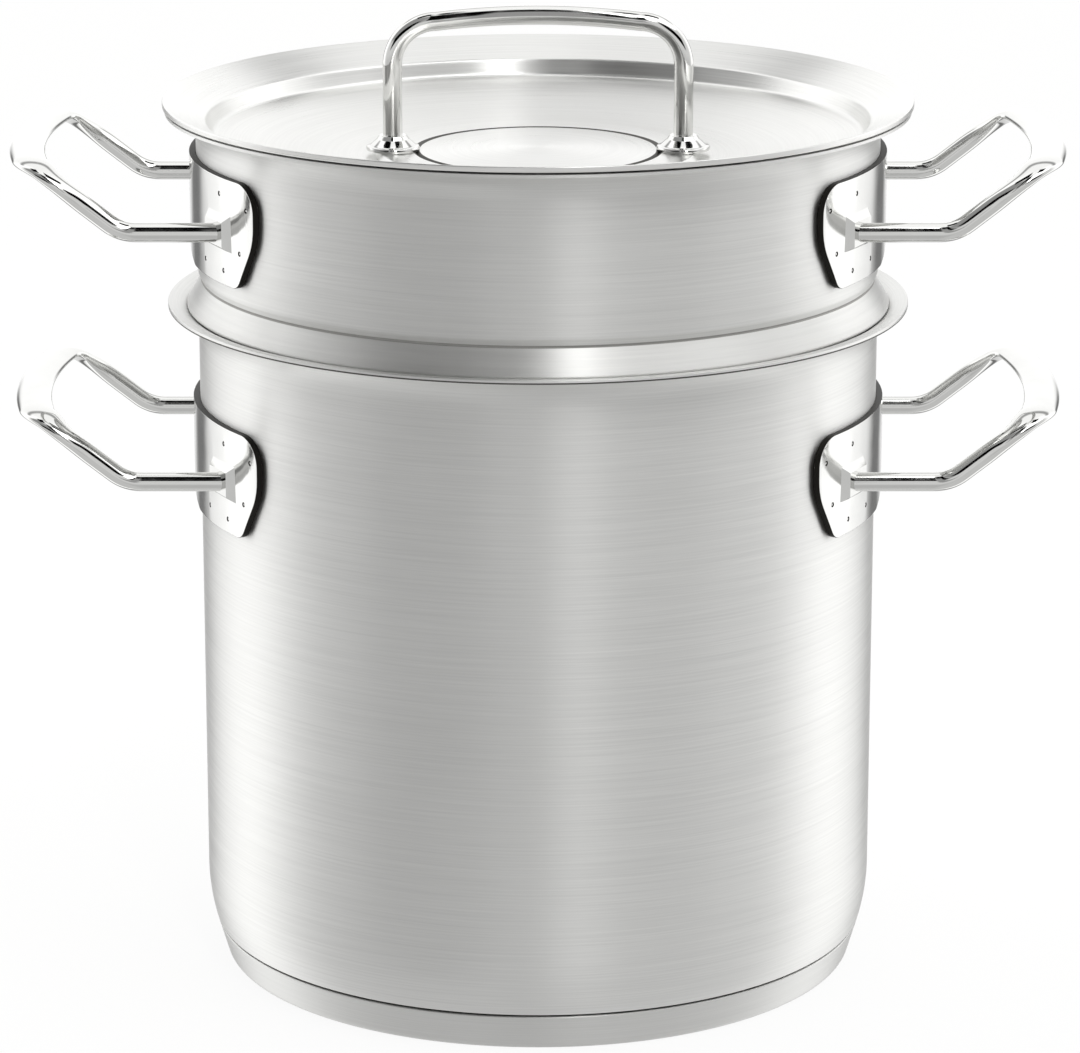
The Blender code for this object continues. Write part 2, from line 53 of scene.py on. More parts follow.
SAME = MM / 100  # places closer than this count as one
EXACT = MM / 1000  # the same for places that no bevel or cut has moved
ORIGIN = (0.0, 0.0, 0.0)
UP = (0.0, 0.0, 1.0)
BOTH_WAYS = (-1.0, 1.0)

Point = tuple[float, float]
Place = tuple[float, float, float]
Corner = tuple[float, float, float]
Piece = bpy.types.Object
Tree = bpy.types.NodeTree
Socket = bpy.types.NodeSocket
Value = Socket | float
Face = bmesh.types.BMFace


class Side(Enum):
    """The two sides on which a handle can sit."""

    LEFT = "left"
    RIGHT = "right"

    @property
    def turn(self) -> float:
        """Angle about Z, in degrees, that brings a piece made on +X to this side."""
        return 180.0 if self is Side.LEFT else 0.0

    @property
    def sign(self) -> float:
        """-1 on the left and +1 on the right."""
        return -1.0 if self is Side.LEFT else 1.0


class Pick(Enum):
    """What kind of mesh element an edit-mode selection is made of."""

    VERT = "VERT"
    FACE = "FACE"


# Modelling bench


def clear_selection() -> None:
    """Leaves edit mode and deselects every object."""
    if bpy.context.mode != "OBJECT":
        bpy.ops.object.mode_set(mode="OBJECT")
    bpy.ops.object.select_all(action="DESELECT")


def name_piece(name: str) -> Piece:
    """Gives the object just added, and its mesh, a name, and opens it in edit mode."""
    piece = bpy.context.object
    piece.name = name
    piece.data.name = name
    bpy.ops.object.mode_set(mode="EDIT")
    return piece


def select_only(piece: Piece) -> None:
    """Makes a piece the only selected object and the active one."""
    clear_selection()
    piece.select_set(True)
    bpy.context.view_layer.objects.active = piece


def reopen(piece: Piece) -> None:
    """Opens a piece in edit mode."""
    select_only(piece)
    bpy.ops.object.mode_set(mode="EDIT")


def select_whole() -> None:
    """Selects all of the open piece."""
    bpy.ops.mesh.select_all(action="SELECT")


def extrude(step: Place | Vector) -> None:
    """Extrudes what is selected by a step."""
    bpy.ops.mesh.extrude_region_move(TRANSFORM_OT_translate={"value": step})


def pick(piece: Piece, kind: Pick, test: Callable[[Vector], bool]) -> int:
    """Selects only the elements whose middle passes a test.

    Args:
        piece: The piece that is open in edit mode.
        kind: Vertices or faces.
        test: Takes an element's middle and says whether it is wanted.

    Returns:
        How many elements were selected.
    """
    bpy.ops.mesh.select_mode(type=kind.value)
    bpy.ops.mesh.select_all(action="DESELECT")
    mesh = bmesh.from_edit_mesh(piece.data)
    count = 0
    for element in mesh.verts if kind is Pick.VERT else mesh.faces:
        if test(element.co if kind is Pick.VERT else element.calc_center_median()):
            element.select_set(True)
            count += 1
    mesh.select_flush_mode()
    bmesh.update_edit_mesh(piece.data)
    return count


def draw_chain(name: str, points: list[Vector]) -> Piece:
    """Draws a chain of edges by extruding one vertex from point to point.

    Args:
        name: The piece's name.
        points: The chain's points, in order.

    Returns:
        The piece, open in edit mode.
    """
    clear_selection()
    bpy.ops.mesh.primitive_plane_add(size=MM, location=ORIGIN)
    piece = name_piece(name)
    bpy.ops.mesh.select_mode(type="VERT")
    select_whole()
    bpy.ops.mesh.merge(type="CENTER")
    bpy.ops.transform.translate(value=points[0])
    for here, there in zip(points, points[1:]):
        extrude(there - here)
    return piece


def close_surface(threshold: float = EXACT) -> None:
    """Merges doubled vertices of the open piece and turns its faces outwards."""
    select_whole()
    bpy.ops.mesh.remove_doubles(threshold=threshold)
    bpy.ops.mesh.normals_make_consistent(inside=False)


def spin_once(steps: int, **settings: object) -> None:
    """Spins what is selected once round Z."""
    bpy.ops.mesh.spin(steps=steps, angle=2.0 * pi, center=ORIGIN, axis=UP, **settings)


def turn_section(name: str, section: list[Point], steps: int) -> Piece:
    """Spins a wall section about Z.

    Args:
        name: The piece's name.
        section: Points (r, z) that start and end on the axis, or an open line for a sheet.
        steps: How many facets go round.

    Returns:
        The piece, open in edit mode. Where the section is closed, its faces look outwards.
    """
    piece = draw_chain(name, [Vector((r, 0.0, z)) for r, z in section])
    select_whole()
    spin_once(steps)
    close_surface()
    return piece


def mark_faces(piece: Piece, finishes: Iterable["Finish"], test: Callable[[Face], bool]) -> None:
    """Gives some faces of the piece, open in edit mode, the second of its two finishes.

    Args:
        piece: The piece.
        finishes: The piece's own finish and the one for the marked faces.
        test: Whether a face is marked.
    """
    for finish in finishes:
        piece.data.materials.append(finish.material)
    mesh = bmesh.from_edit_mesh(piece.data)
    mesh.normal_update()
    for face in mesh.faces:
        if test(face):
            face.material_index = 1
    bmesh.update_edit_mesh(piece.data)


def apply_modifier(piece: Piece, kind: str, **settings: object) -> None:
    """Adds a modifier to a piece, sets it and applies it.

    Args:
        piece: The piece.
        kind: The modifier's type.
        settings: Its properties by name.
    """
    select_only(piece)
    bpy.ops.object.modifier_add(type=kind)
    modifier = piece.modifiers[-1]
    for key, value in settings.items():
        setattr(modifier, key, value)
    bpy.ops.object.modifier_apply(modifier=modifier.name)


def smooth(piece: Piece, angle: float = 40.0, weighted: bool = False) -> None:
    """Shades a piece smooth up to an angle in degrees.

    Args:
        piece: The piece.
        angle: Edges sharper than this stay sharp.
        weighted: Whether large faces keep their own normal next to narrow bevels.
    """
    select_only(piece)
    bpy.ops.object.shade_smooth_by_angle(angle=radians(angle))
    if weighted:
        apply_modifier(piece, "WEIGHTED_NORMAL", keep_sharp=True, weight=100)


def settle(piece: Piece, place: Matrix) -> None:
    """Moves a piece's mesh by a matrix, and leaves the object itself at the origin."""
    select_only(piece)
    piece.matrix_world = place
    bpy.ops.object.transform_apply(location=True, rotation=True, scale=True)


def copy_piece(piece: Piece, name: str, place: Matrix) -> Piece:
    """A copy with its own mesh, put in place by a matrix."""
    select_only(piece)
    bpy.ops.object.duplicate(linked=False)
    twin = bpy.context.object
    twin.name = name
    twin.data.name = name
    settle(twin, place)
    return twin


def discard(piece: Piece) -> None:
    """Removes a helper that has done its work."""
    bpy.data.objects.remove(piece)


def cut_away(piece: Piece, cutter: Piece) -> None:
    """Cuts another piece's volume out of a piece, and removes that other piece."""
    apply_modifier(piece, "BOOLEAN", operation="DIFFERENCE", solver="EXACT", object=cutter)
    discard(cutter)


def hand_over(piece: Piece, body: str, node: str, finish: "Finish") -> None:
    """Gives a finished piece its material and its place in the frame.

    Args:
        piece: The piece, at the origin.
        body: The body that it rides on.
        node: The solid that it stands for.
        finish: The finish that it takes where none was given to its faces.
    """
    if not piece.data.materials:
        piece.data.materials.append(finish.material)
    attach(piece, body)
    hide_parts(node)
    piece.data.calc_loop_triangles()
    LOG.info("%s: %d triangles on %s", piece.name, len(piece.data.loop_triangles), body)


# Section drawing


def arc(centre: Point, radius: float, start: float, end: float, steps: int = 8) -> list[Corner]:
    """Points of an arc, from one angle to another in degrees, as corners that stay as they are."""
    angles = [radians(start + (end - start) * i / steps) for i in range(steps + 1)]
    return [(centre[0] + radius * cos(a), centre[1] + radius * sin(a), 0.0) for a in angles]


def filleted(corners: list[Corner], step_angle: float = 9.0) -> list[Point]:
    """The open line through corners, each rounded to its own radius.

    Args:
        corners: Points (x, y, radius); a radius of 0 leaves the point as it is.
        step_angle: The most that the line turns between two points, in degrees.

    Returns:
        The line's points.
    """
    line: list[Point] = [corners[0][:2]]
    for before, corner, after in zip(corners, corners[1:], corners[2:]):
        if corner[2] == 0.0:
            line.append(corner[:2])
            continue
        here = Vector(corner[:2])
        back = (Vector(before[:2]) - here).normalized()
        ahead = (Vector(after[:2]) - here).normalized()
        half = back.angle(ahead) / 2.0
        centre = here + (back + ahead).normalized() * corner[2] / sin(half)
        start = here + back * corner[2] / tan(half) - centre
        sweep = pi - 2.0 * half
        turn = -sweep if back.cross(ahead) > 0.0 else sweep
        steps = max(2, round(degrees(sweep) / step_angle))
        for i in range(steps + 1):
            line.append(tuple(centre + Matrix.Rotation(turn * i / steps, 2) @ start))
    line.append(corners[-1][:2])
    return line


def supported(line: list[Point], near: float = 0.6 * MM, longest: float = 3 * MM) -> list[Point]:
    """Adds a point close to each end of every long straight run, so that its shading stays true."""
    result = [line[0]]
    for here, there in zip(line, line[1:]):
        length = hypot(there[0] - here[0], there[1] - here[1])
        if length > longest:
            for share in (near / length, 1.0 - near / length):
                x = here[0] + (there[0] - here[0]) * share
                y = here[1] + (there[1] - here[1]) * share
                result.append((x, y))
        result.append(there)
    return result


def offset_line(line: list[Point], distance: float) -> list[Point]:
    """The line moved by a distance to its left, with mitred corners; it stays off the axis."""
    points = [Vector(p) for p in line]
    ways = [(b - a).normalized() for a, b in zip(points, points[1:])]
    moved = []
    for i, point in enumerate(points):
        first = ways[max(i - 1, 0)]
        second = ways[min(i, len(ways) - 1)]
        mitre = Vector((-first.y - second.y, first.x + second.x)).normalized()
        reach = distance / mitre.dot(Vector((-first.y, first.x)))
        moved.append((max(point.x + mitre.x * reach, 0.0), point.y + mitre.y * reach))
    return moved


# Finishes


def linear(hex_colour: str) -> tuple[float, float, float, float]:
    """An sRGB hex colour as linear RGBA."""
    values = [int(hex_colour[i : i + 2], 16) / 255 for i in (1, 3, 5)]
    rgb = [v / 12.92 if v <= 0.04045 else ((v + 0.055) / 1.055) ** 2.4 for v in values]
    return (*rgb, 1.0)


def add_node(
    tree: Tree, kind: str, inputs: dict | None = None, **settings: object
) -> bpy.types.Node:
    """Adds a node with its settings, values and links.

    Args:
        tree: The node tree.
        kind: The node's type, without the ShaderNode that all of them start with.
        inputs: Socket name or index to a value, or to the socket that feeds it.
        settings: The node's own properties.

    Returns:
        The node.
    """
    node = tree.nodes.new("ShaderNode" + kind)
    for key, value in settings.items():
        setattr(node, key, value)
    for key, value in (inputs or {}).items():
        if isinstance(value, Socket):
            tree.links.new(value, node.inputs[key])
        else:
            node.inputs[key].default_value = value
    return node


def fresh_tree(owner: bpy.types.Material | bpy.types.World) -> Tree:
    """The emptied node tree of a material or a world."""
    owner.use_nodes = True
    owner.node_tree.nodes.clear()
    return owner.node_tree


def calculate(tree: Tree, operation: str, first: Socket, second: Value = 0.0) -> Socket:
    """The result of one sum on a socket."""
    return add_node(tree, "Math", {0: first, 1: second}, operation=operation).outputs[0]


def noise(tree: Tree, place: Socket, scale: float, detail: float, roughness: float = 0.5) -> Socket:
    """A soft random pattern between 0 and 1."""
    inputs = {"Vector": place, "Scale": scale, "Detail": detail, "Roughness": roughness}
    return add_node(tree, "TexNoise", inputs).outputs[0]


@dataclass
class Finish:
    """A metal finish, which makes its material once and hands the same one to each piece.

    Args:
        name: The material's name.
        light: The lighter of its two colours.
        dark: The darker one.
        roughness: The middle of its roughness.
    """

    name: str
    light: str = "#FFFFFF"
    dark: str = "#FFFFFF"
    roughness: float = 0.5
    _material: bpy.types.Material | None = field(default=None, init=False, repr=False)

    @property
    def material(self) -> bpy.types.Material:
        """The material, made on first use."""
        if self._material is None:
            self._material = bpy.data.materials.new(self.name)
            tree = fresh_tree(self._material)
            self.fill(tree, add_node(tree, "TexCoord").outputs["Object"])
        return self._material

    def fill(self, tree: Tree, place: Socket) -> None:
        """Builds the material's nodes from the place on the piece."""
        raise NotImplementedError

    def add_metal(
        self,
        tree: Tree,
        pattern: Socket,
        relief_mm: float,
        rubbed: Socket,
        span: Point,
        spread: float,
        brushing: dict[str, object] | None = None,
    ) -> None:
        """Adds bare metal whose colour, relief and gloss are uneven.

        Args:
            tree: The material's nodes.
            pattern: What the colour and the relief follow.
            relief_mm: How deep the relief is, in millimetres.
            rubbed: What the gloss follows.
            span: The values of rubbed that give the lowest and the highest roughness.
            spread: How far the roughness goes up and down from its middle.
            brushing: Inputs of the shader for metal brushed in one direction.
        """
        # A Mix node keeps one pair of sockets per data type, so its colours go by index.
        colours = {"Factor": pattern, 6: linear(self.dark), 7: linear(self.light)}
        colour = add_node(tree, "Mix", colours, data_type="RGBA")
        limits = {
            "Value": rubbed,
            "From Min": span[0],
            "From Max": span[1],
            "To Min": self.roughness - spread,
            "To Max": self.roughness + spread,
        }
        rough = add_node(tree, "MapRange", limits)
        relief = {"Height": pattern, "Strength": 1.0, "Distance": relief_mm * MM}
        bump = add_node(tree, "Bump", relief)
        steel = {
            "Base Color": colour.outputs[2],
            "Metallic": 1.0,
            "Roughness": rough.outputs[0],
            "Normal": bump.outputs[0],
        }
        shader = add_node(tree, "BsdfPrincipled", steel | (brushing or {}))
        add_node(tree, "OutputMaterial", {"Surface": shader.outputs[0]})


@dataclass
class BrushedSteel(Finish):
    """18/10 stainless steel brushed round the axis with a fine belt.

    The hairlines run round the pot, so a light in front of it is drawn out into a tall soft
    band, while its edges to the left and right stay fairly clear.
    """

    light: str = "#EBEBE9"
    dark: str = "#D0D0CE"
    roughness: float = 0.45
    spread: float = 0.03
    anisotropy: float = 0.85
    hairline_mm: float = 0.7
    hairline_length_mm: float = 60.0
    relief_mm: float = 0.0006
    handling_scale: float = 14.0
    rubbed_span: Point = (0.12, 0.38)

    def fill(self, tree: Tree, place: Socket) -> None:
        """Hairlines that run round the axis, on walls and on flat rings alike."""
        axes = add_node(tree, "SeparateXYZ", {0: place}).outputs
        flat = add_node(tree, "CombineXYZ", {"X": axes["X"], "Y": axes["Y"]}).outputs[0]
        radius = add_node(tree, "VectorMath", {0: flat}, operation="LENGTH")
        across = calculate(tree, "ADD", radius.outputs["Value"], axes["Z"])
        slow = 1.0 / (self.hairline_length_mm * MM)
        # Real hairlines are about 0.05 mm apart; these are coarser so that some show.
        stretched = {
            "X": calculate(tree, "MULTIPLY", axes["X"], slow),
            "Y": calculate(tree, "MULTIPLY", axes["Y"], slow),
            "Z": calculate(tree, "MULTIPLY", across, 1.0 / (self.hairline_mm * MM)),
        }
        drawn_out = add_node(tree, "CombineXYZ", stretched).outputs[0]
        hairlines = noise(tree, drawn_out, scale=1.0, detail=3.0, roughness=0.6)
        handling = noise(tree, place, self.handling_scale, detail=3.0, roughness=0.55)
        rubbed = calculate(tree, "MULTIPLY", hairlines, handling)
        tangent = add_node(tree, "Tangent", direction_type="RADIAL", axis="Z")
        brushing = {
            "Anisotropic": self.anisotropy,
            "Anisotropic Rotation": 0.25,
            "Tangent": tangent.outputs[0],
        }
        self.add_metal(
            tree, hairlines, self.relief_mm, rubbed, self.rubbed_span, self.spread, brushing
        )


@dataclass
class PolishedSteel(Finish):
    """18/10 stainless steel polished on a soft wheel.

    It mirrors the studio, broken only by faint smears left by hands and wiping, and by the
    slow ripple that the wheel leaves.
    """

    light: str = "#DEDEDC"
    dark: str = "#D4D4D2"
    roughness: float = 0.07
    spread: float = 0.035
    smear_mm: float = 9.0
    ripple_mm: float = 0.004
    smear_span: Point = (0.3, 0.7)

    def fill(self, tree: Tree, place: Socket) -> None:
        """Smears in the gloss and the colour, and the ripple."""
        smears = noise(tree, place, 1.0 / (self.smear_mm * MM), detail=4.0)
        self.add_metal(tree, smears, self.ripple_mm, smears, self.smear_span, self.spread)


@dataclass
class GrainyMetal(Finish):
    """Metal left as it was cast, cut or pressed: dull, with a faint grain.

    It serves for the pale aluminium core, and in dark colours for painted shade: in the pot's seam,
    under its rim's cut edge, in the insert's crease and in the lid's groove, and on the plates' cut
    edges, which are dull of their own and painted much darker as the shade of the gap by the wall.
    """

    light: str = "#E4E4E6"
    dark: str = "#D2D2D5"
    roughness: float = 0.45
    grain_mm: float = 0.8
    relief_mm: float = 0.02
    spread: float = 0.08

    def fill(self, tree: Tree, place: Socket) -> None:
        """A fine grain in the colour, the gloss and the relief."""
        grain = noise(tree, place, 1.0 / (self.grain_mm * MM), detail=4.0)
        self.add_metal(tree, grain, self.relief_mm, grain, (0.0, 1.0), self.spread)


# Shells


@dataclass
class PotShell:
    """The pot's body: floor, heel over the base, straight wall and rolled pouring rim."""

    finish: Finish
    # Dark colour painted as shade in the seam's gap and under the rim's edge.
    painted_shade_finish: Finish
    radius: float = 0.1200
    wall: float = 0.0010
    rim_height: float = 0.2410
    roll_radius: float = 0.0100
    land: float = 0.0007
    edge_radius: float = 0.0003
    edge_drop: float = 0.0005
    bright_edge: float = 0.0009
    floor_height: float = 0.0081
    floor_corner: float = 0.0090
    heel_height: float = 0.0330
    heel_angle: float = 16.0
    seam_height: float = 0.01405
    seam_step: float = 0.0016
    seam_edge: float = 0.0005
    seam_lip: float = 0.0001
    seam_slack: float = 0.00002
    seam_depth: float = 0.0012
    cut_width: float = 0.0004
    steps: int = 192

    @property
    def rim_centre(self) -> float:
        """Distance from the axis to the centre of the rim's roll."""
        return self.radius + self.roll_radius

    @property
    def heel_radius(self) -> float:
        """Radius on which the wall draws in above the base."""
        return (self.heel_height - self.seam_height) / sin(radians(self.heel_angle))

    @property
    def seam_radius(self) -> float:
        """Radius of the wall at its seam with the base."""
        return self.radius - self.heel_radius * (1.0 - cos(radians(self.heel_angle)))

    def rim_corners(self) -> list[Corner]:
        """Corners of the rim, up its outer side and down its inner one."""
        under = self.rim_height - self.wall
        edge = self.rim_centre + self.land
        return [
            (self.radius, under, self.roll_radius),
            (edge, under - self.edge_drop, self.edge_radius),
            (edge, self.rim_height - self.bright_edge, 0.0),
            (edge, self.rim_height, self.edge_radius),
            (self.radius - self.wall, self.rim_height, self.roll_radius + self.wall),
        ]

    def section(self) -> list[Point]:
        """Closed wall section, from the axis under the floor to the axis over it."""
        shoulder = self.seam_radius - self.seam_step
        centre = (shoulder - self.floor_corner, self.floor_height + self.floor_corner)
        low = self.seam_height - self.seam_edge / 2
        end = degrees(asin((low - centre[1]) / self.floor_corner))
        heel_centre = (self.radius - self.heel_radius, self.heel_height)
        inner_heel = arc(heel_centre, self.heel_radius - self.wall, 0.0, -self.heel_angle)
        corners = [
            (0.0, self.floor_height, 0.0),
            *arc(centre, self.floor_corner, -90.0, end),
            (self.seam_radius - self.seam_lip, low, self.seam_edge),
            *arc(heel_centre, self.heel_radius, -self.heel_angle, 0.0)[1:],
            *self.rim_corners(),
            *inner_heel[:-1],
            (shoulder - self.wall, self.floor_height + self.wall, self.floor_corner - self.wall),
            (0.0, self.floor_height + self.wall, 0.0),
        ]
        return supported(filleted(corners))

    def takes_painted_shade(self, face: Face) -> bool:
        """Whether a face takes the painted shade: it lies in the seam's gap or on the lower part of
        the rim's cut edge.
        """
        middle = face.calc_center_median()
        reach = hypot(middle.x, middle.y)
        if middle.z < self.seam_height:
            gap = self.seam_height - self.seam_edge / 2 + self.seam_slack
            return middle.z < gap and reach > self.seam_radius - self.seam_step - self.seam_depth
        below = middle.z < self.rim_height - self.bright_edge
        return below and reach > self.rim_centre + self.land - self.cut_width

    def build(self) -> None:
        """Spins the body and hands it over."""
        piece = turn_section("pot_shell", self.section(), self.steps)
        mark_faces(piece, (self.finish, self.painted_shade_finish), self.takes_painted_shade)
        smooth(piece)
        hand_over(piece, "pot", "pot_body", self.finish)


@dataclass
class CapsuleBase:
    """The base: a pressed steel dish that closes an aluminium disc in under the pot."""

    finish: Finish
    core_finish: Finish
    radius: float = 0.1138
    sheet: float = 0.0010
    foot_radius: float = 0.0025
    seam_radius: float = 0.11700
    edge_height: float = 0.0129
    edge_radius: float = 0.0004
    relief_rings: tuple[float, ...] = (0.030, 0.060, 0.090)
    relief_width: float = 0.0012
    relief_depth: float = 0.0003
    relief_radii: Point = (0.0005, 0.0008)
    steps: int = 192

    def outside(self, rings: list[Corner]) -> list[Point]:
        """Outer side of the dish, from the axis to the seam, with some rings underneath."""
        bend = (self.radius - self.foot_radius, self.foot_radius)
        foot = arc(bend, self.foot_radius, -90.0, -15.0)
        seam = (self.seam_radius, self.edge_height, 0.0)
        return filleted([(0.0, 0.0, 0.0), *rings, *foot, seam])

    def section(self) -> list[Point]:
        """Closed section of the dish, with shallow turned rings in its underside."""
        edge, bottom = self.relief_radii
        rings: list[Corner] = []
        for ring in self.relief_rings:
            rings += [
                (ring - self.relief_width, 0.0, edge),
                (ring, self.relief_depth, bottom),
                (ring + self.relief_width, 0.0, edge),
            ]
        outer = self.outside(rings)
        inner = offset_line(self.outside([]), self.sheet)[::-1]
        tip = [(*outer[-1], self.edge_radius), (*inner[0], self.edge_radius)]
        joint = filleted([(*outer[-2], 0.0), *tip, (*inner[1], 0.0)])
        return supported(outer[:-1] + joint[1:-1] + inner[1:])

    def build(self) -> None:
        """Spins the dish, and gives the core that it hides a cast finish."""
        piece = turn_section("base_dish", self.section(), self.steps)
        smooth(piece)
        hand_over(piece, "pot", "base_cap", self.finish)
        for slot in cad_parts["base_core"].material_slots:
            slot.material = self.core_finish.material


@dataclass
class StrainerInsert:
    """The insert: perforated basket, bead that sits in the pot's rim, neck, wall and rim."""

    finish: Finish
    # Darker colour painted as shade in the crease under the neck.
    painted_shade_finish: Finish
    shell: PotShell
    rim_height: float = 0.3095
    crease_height: float = 0.2495
    crease_depth: float = 0.0012
    neck_length: float = 0.0026
    neck_radius: float = 0.0030
    crease_radius: float = 0.0010
    crease_reach: float = 0.0006
    bead_radius: float = 0.1242
    bead_edge: float = 0.0009
    bead_start: float = 165.0
    bead_tail: float = 6.0
    seat_clearance: float = 0.00045
    basket_radius: float = 0.1150
    shoulder_drop: float = 0.0060
    shoulder_radius: float = 0.0040
    basket_floor: float = 0.0450
    basket_corner: float = 0.0120
    columns: int = 144
    hole_radius: float = 0.0023
    hole_profile: float = 0.086
    row_pitch: float = 0.0087
    lowest_row: float = 0.0655
    rows: int = 16
    floor_pitch: float = 0.0115
    floor_rings: int = 8
    floor_hole_sides: int = 12
    row_slack: float = 0.01
    arc_end: float = 0.0001

    def line(self) -> list[Point]:
        """Outer side of the sheet, from the middle of the basket's floor up to the lip."""
        shell = self.shell
        roll = shell.roll_radius + shell.wall
        centre = (shell.rim_centre, shell.rim_height - roll)
        reach = roll + self.seat_clearance
        bead_angle = 90.0 + degrees(asin((centre[0] - self.bead_radius) / reach))
        edge = self.bead_radius + self.arc_end
        under = self.rim_height - shell.wall
        holes = [
            (self.basket_radius, self.lowest_row + self.row_pitch * row, 0.0)
            for row in range(-1, self.rows + 1)
        ]
        corners = [
            (0.0, self.basket_floor, 0.0),
            (self.basket_radius, self.basket_floor, self.basket_corner),
            *holes,
            (self.basket_radius, centre[1] - self.shoulder_drop, self.shoulder_radius),
            *arc(centre, reach, self.bead_start, bead_angle + self.bead_tail),
            (edge, centre[1] + sqrt(reach**2 - (centre[0] - edge) ** 2), self.bead_edge),
            (shell.radius - self.crease_depth, self.crease_height, self.crease_radius),
            (shell.radius, self.crease_height + self.neck_length, self.neck_radius),
            (shell.radius, under, shell.roll_radius),
            (shell.rim_centre + shell.land, under, 0.0),
        ]
        return supported(filleted(corners, step_angle=8.0), longest=self.row_pitch * 1.05)

    def pierce_wall(self, piece: Piece) -> None:
        """Opens staggered rows of round holes in the wall, by bevelling its grid's vertices."""
        step = 2.0 * pi / self.columns

        def is_hole(place: Vector) -> bool:
            row = (place.z - self.lowest_row) / self.row_pitch
            near = round(row)
            if not 0 <= near < self.rows or abs(row - near) > self.row_slack:
                return False
            if abs(hypot(place.x, place.y) - self.basket_radius) > SAME:
                return False
            column = round(Vector((place.x, place.y)).angle_signed(Vector((1.0, 0.0))) / step)
            return (column + near) % 2 == 0

        LOG.info("insert wall: %d holes", pick(piece, Pick.VERT, is_hole))
        # The profile makes the bevel's outline a circle round each vertex.
        bpy.ops.mesh.bevel(
            offset=self.hole_radius, segments=3, profile=self.hole_profile, affect="VERTICES"
        )
        bpy.ops.mesh.delete(type="FACE")

    def takes_painted_shade(self, face: Face) -> bool:
        """Whether a face lies outside in the crease, which is painted darker as shade."""
        middle = face.calc_center_median()
        outside = self.shell.radius - self.crease_depth - self.shell.wall / 2
        near = abs(middle.z - self.crease_height) < self.crease_reach
        return near and hypot(middle.x, middle.y) > outside

    def floor_cutter(self) -> Piece:
        """Pegs for the floor's holes, on rings about the middle."""
        clear_selection()
        bpy.ops.mesh.primitive_cylinder_add(
            vertices=self.floor_hole_sides,
            radius=self.hole_radius,
            depth=6 * self.shell.wall,
            location=(0.0, 0.0, self.basket_floor),
        )
        cutter = name_piece("floor_pegs")
        for ring in range(1, self.floor_rings + 1):
            pick(cutter, Pick.VERT, lambda place: hypot(place.x, place.y) < self.hole_radius * 1.1)
            bpy.ops.mesh.duplicate_move(
                TRANSFORM_OT_translate={"value": (ring * self.floor_pitch, 0.0, 0.0)}
            )
            spin_once(6 * ring, dupli=True, use_auto_merge=False)
        close_surface(SAME)
        bpy.ops.object.mode_set(mode="OBJECT")
        return cutter

    def build(self) -> None:
        """Spins the sheet, pierces it, gives it its thickness and hands it over."""
        piece = turn_section("insert_shell", self.line(), self.columns)
        # The sheet is open at the lip, so its faces come out looking at the axis.
        bpy.ops.mesh.flip_normals()
        self.pierce_wall(piece)
        apply_modifier(piece, "SOLIDIFY", thickness=self.shell.wall, offset=-1.0)
        cut_away(piece, self.floor_cutter())
        reopen(piece)
        mark_faces(piece, (self.finish, self.painted_shade_finish), self.takes_painted_shade)
        smooth(piece)
        hand_over(piece, "insert", "insert_body", self.finish)


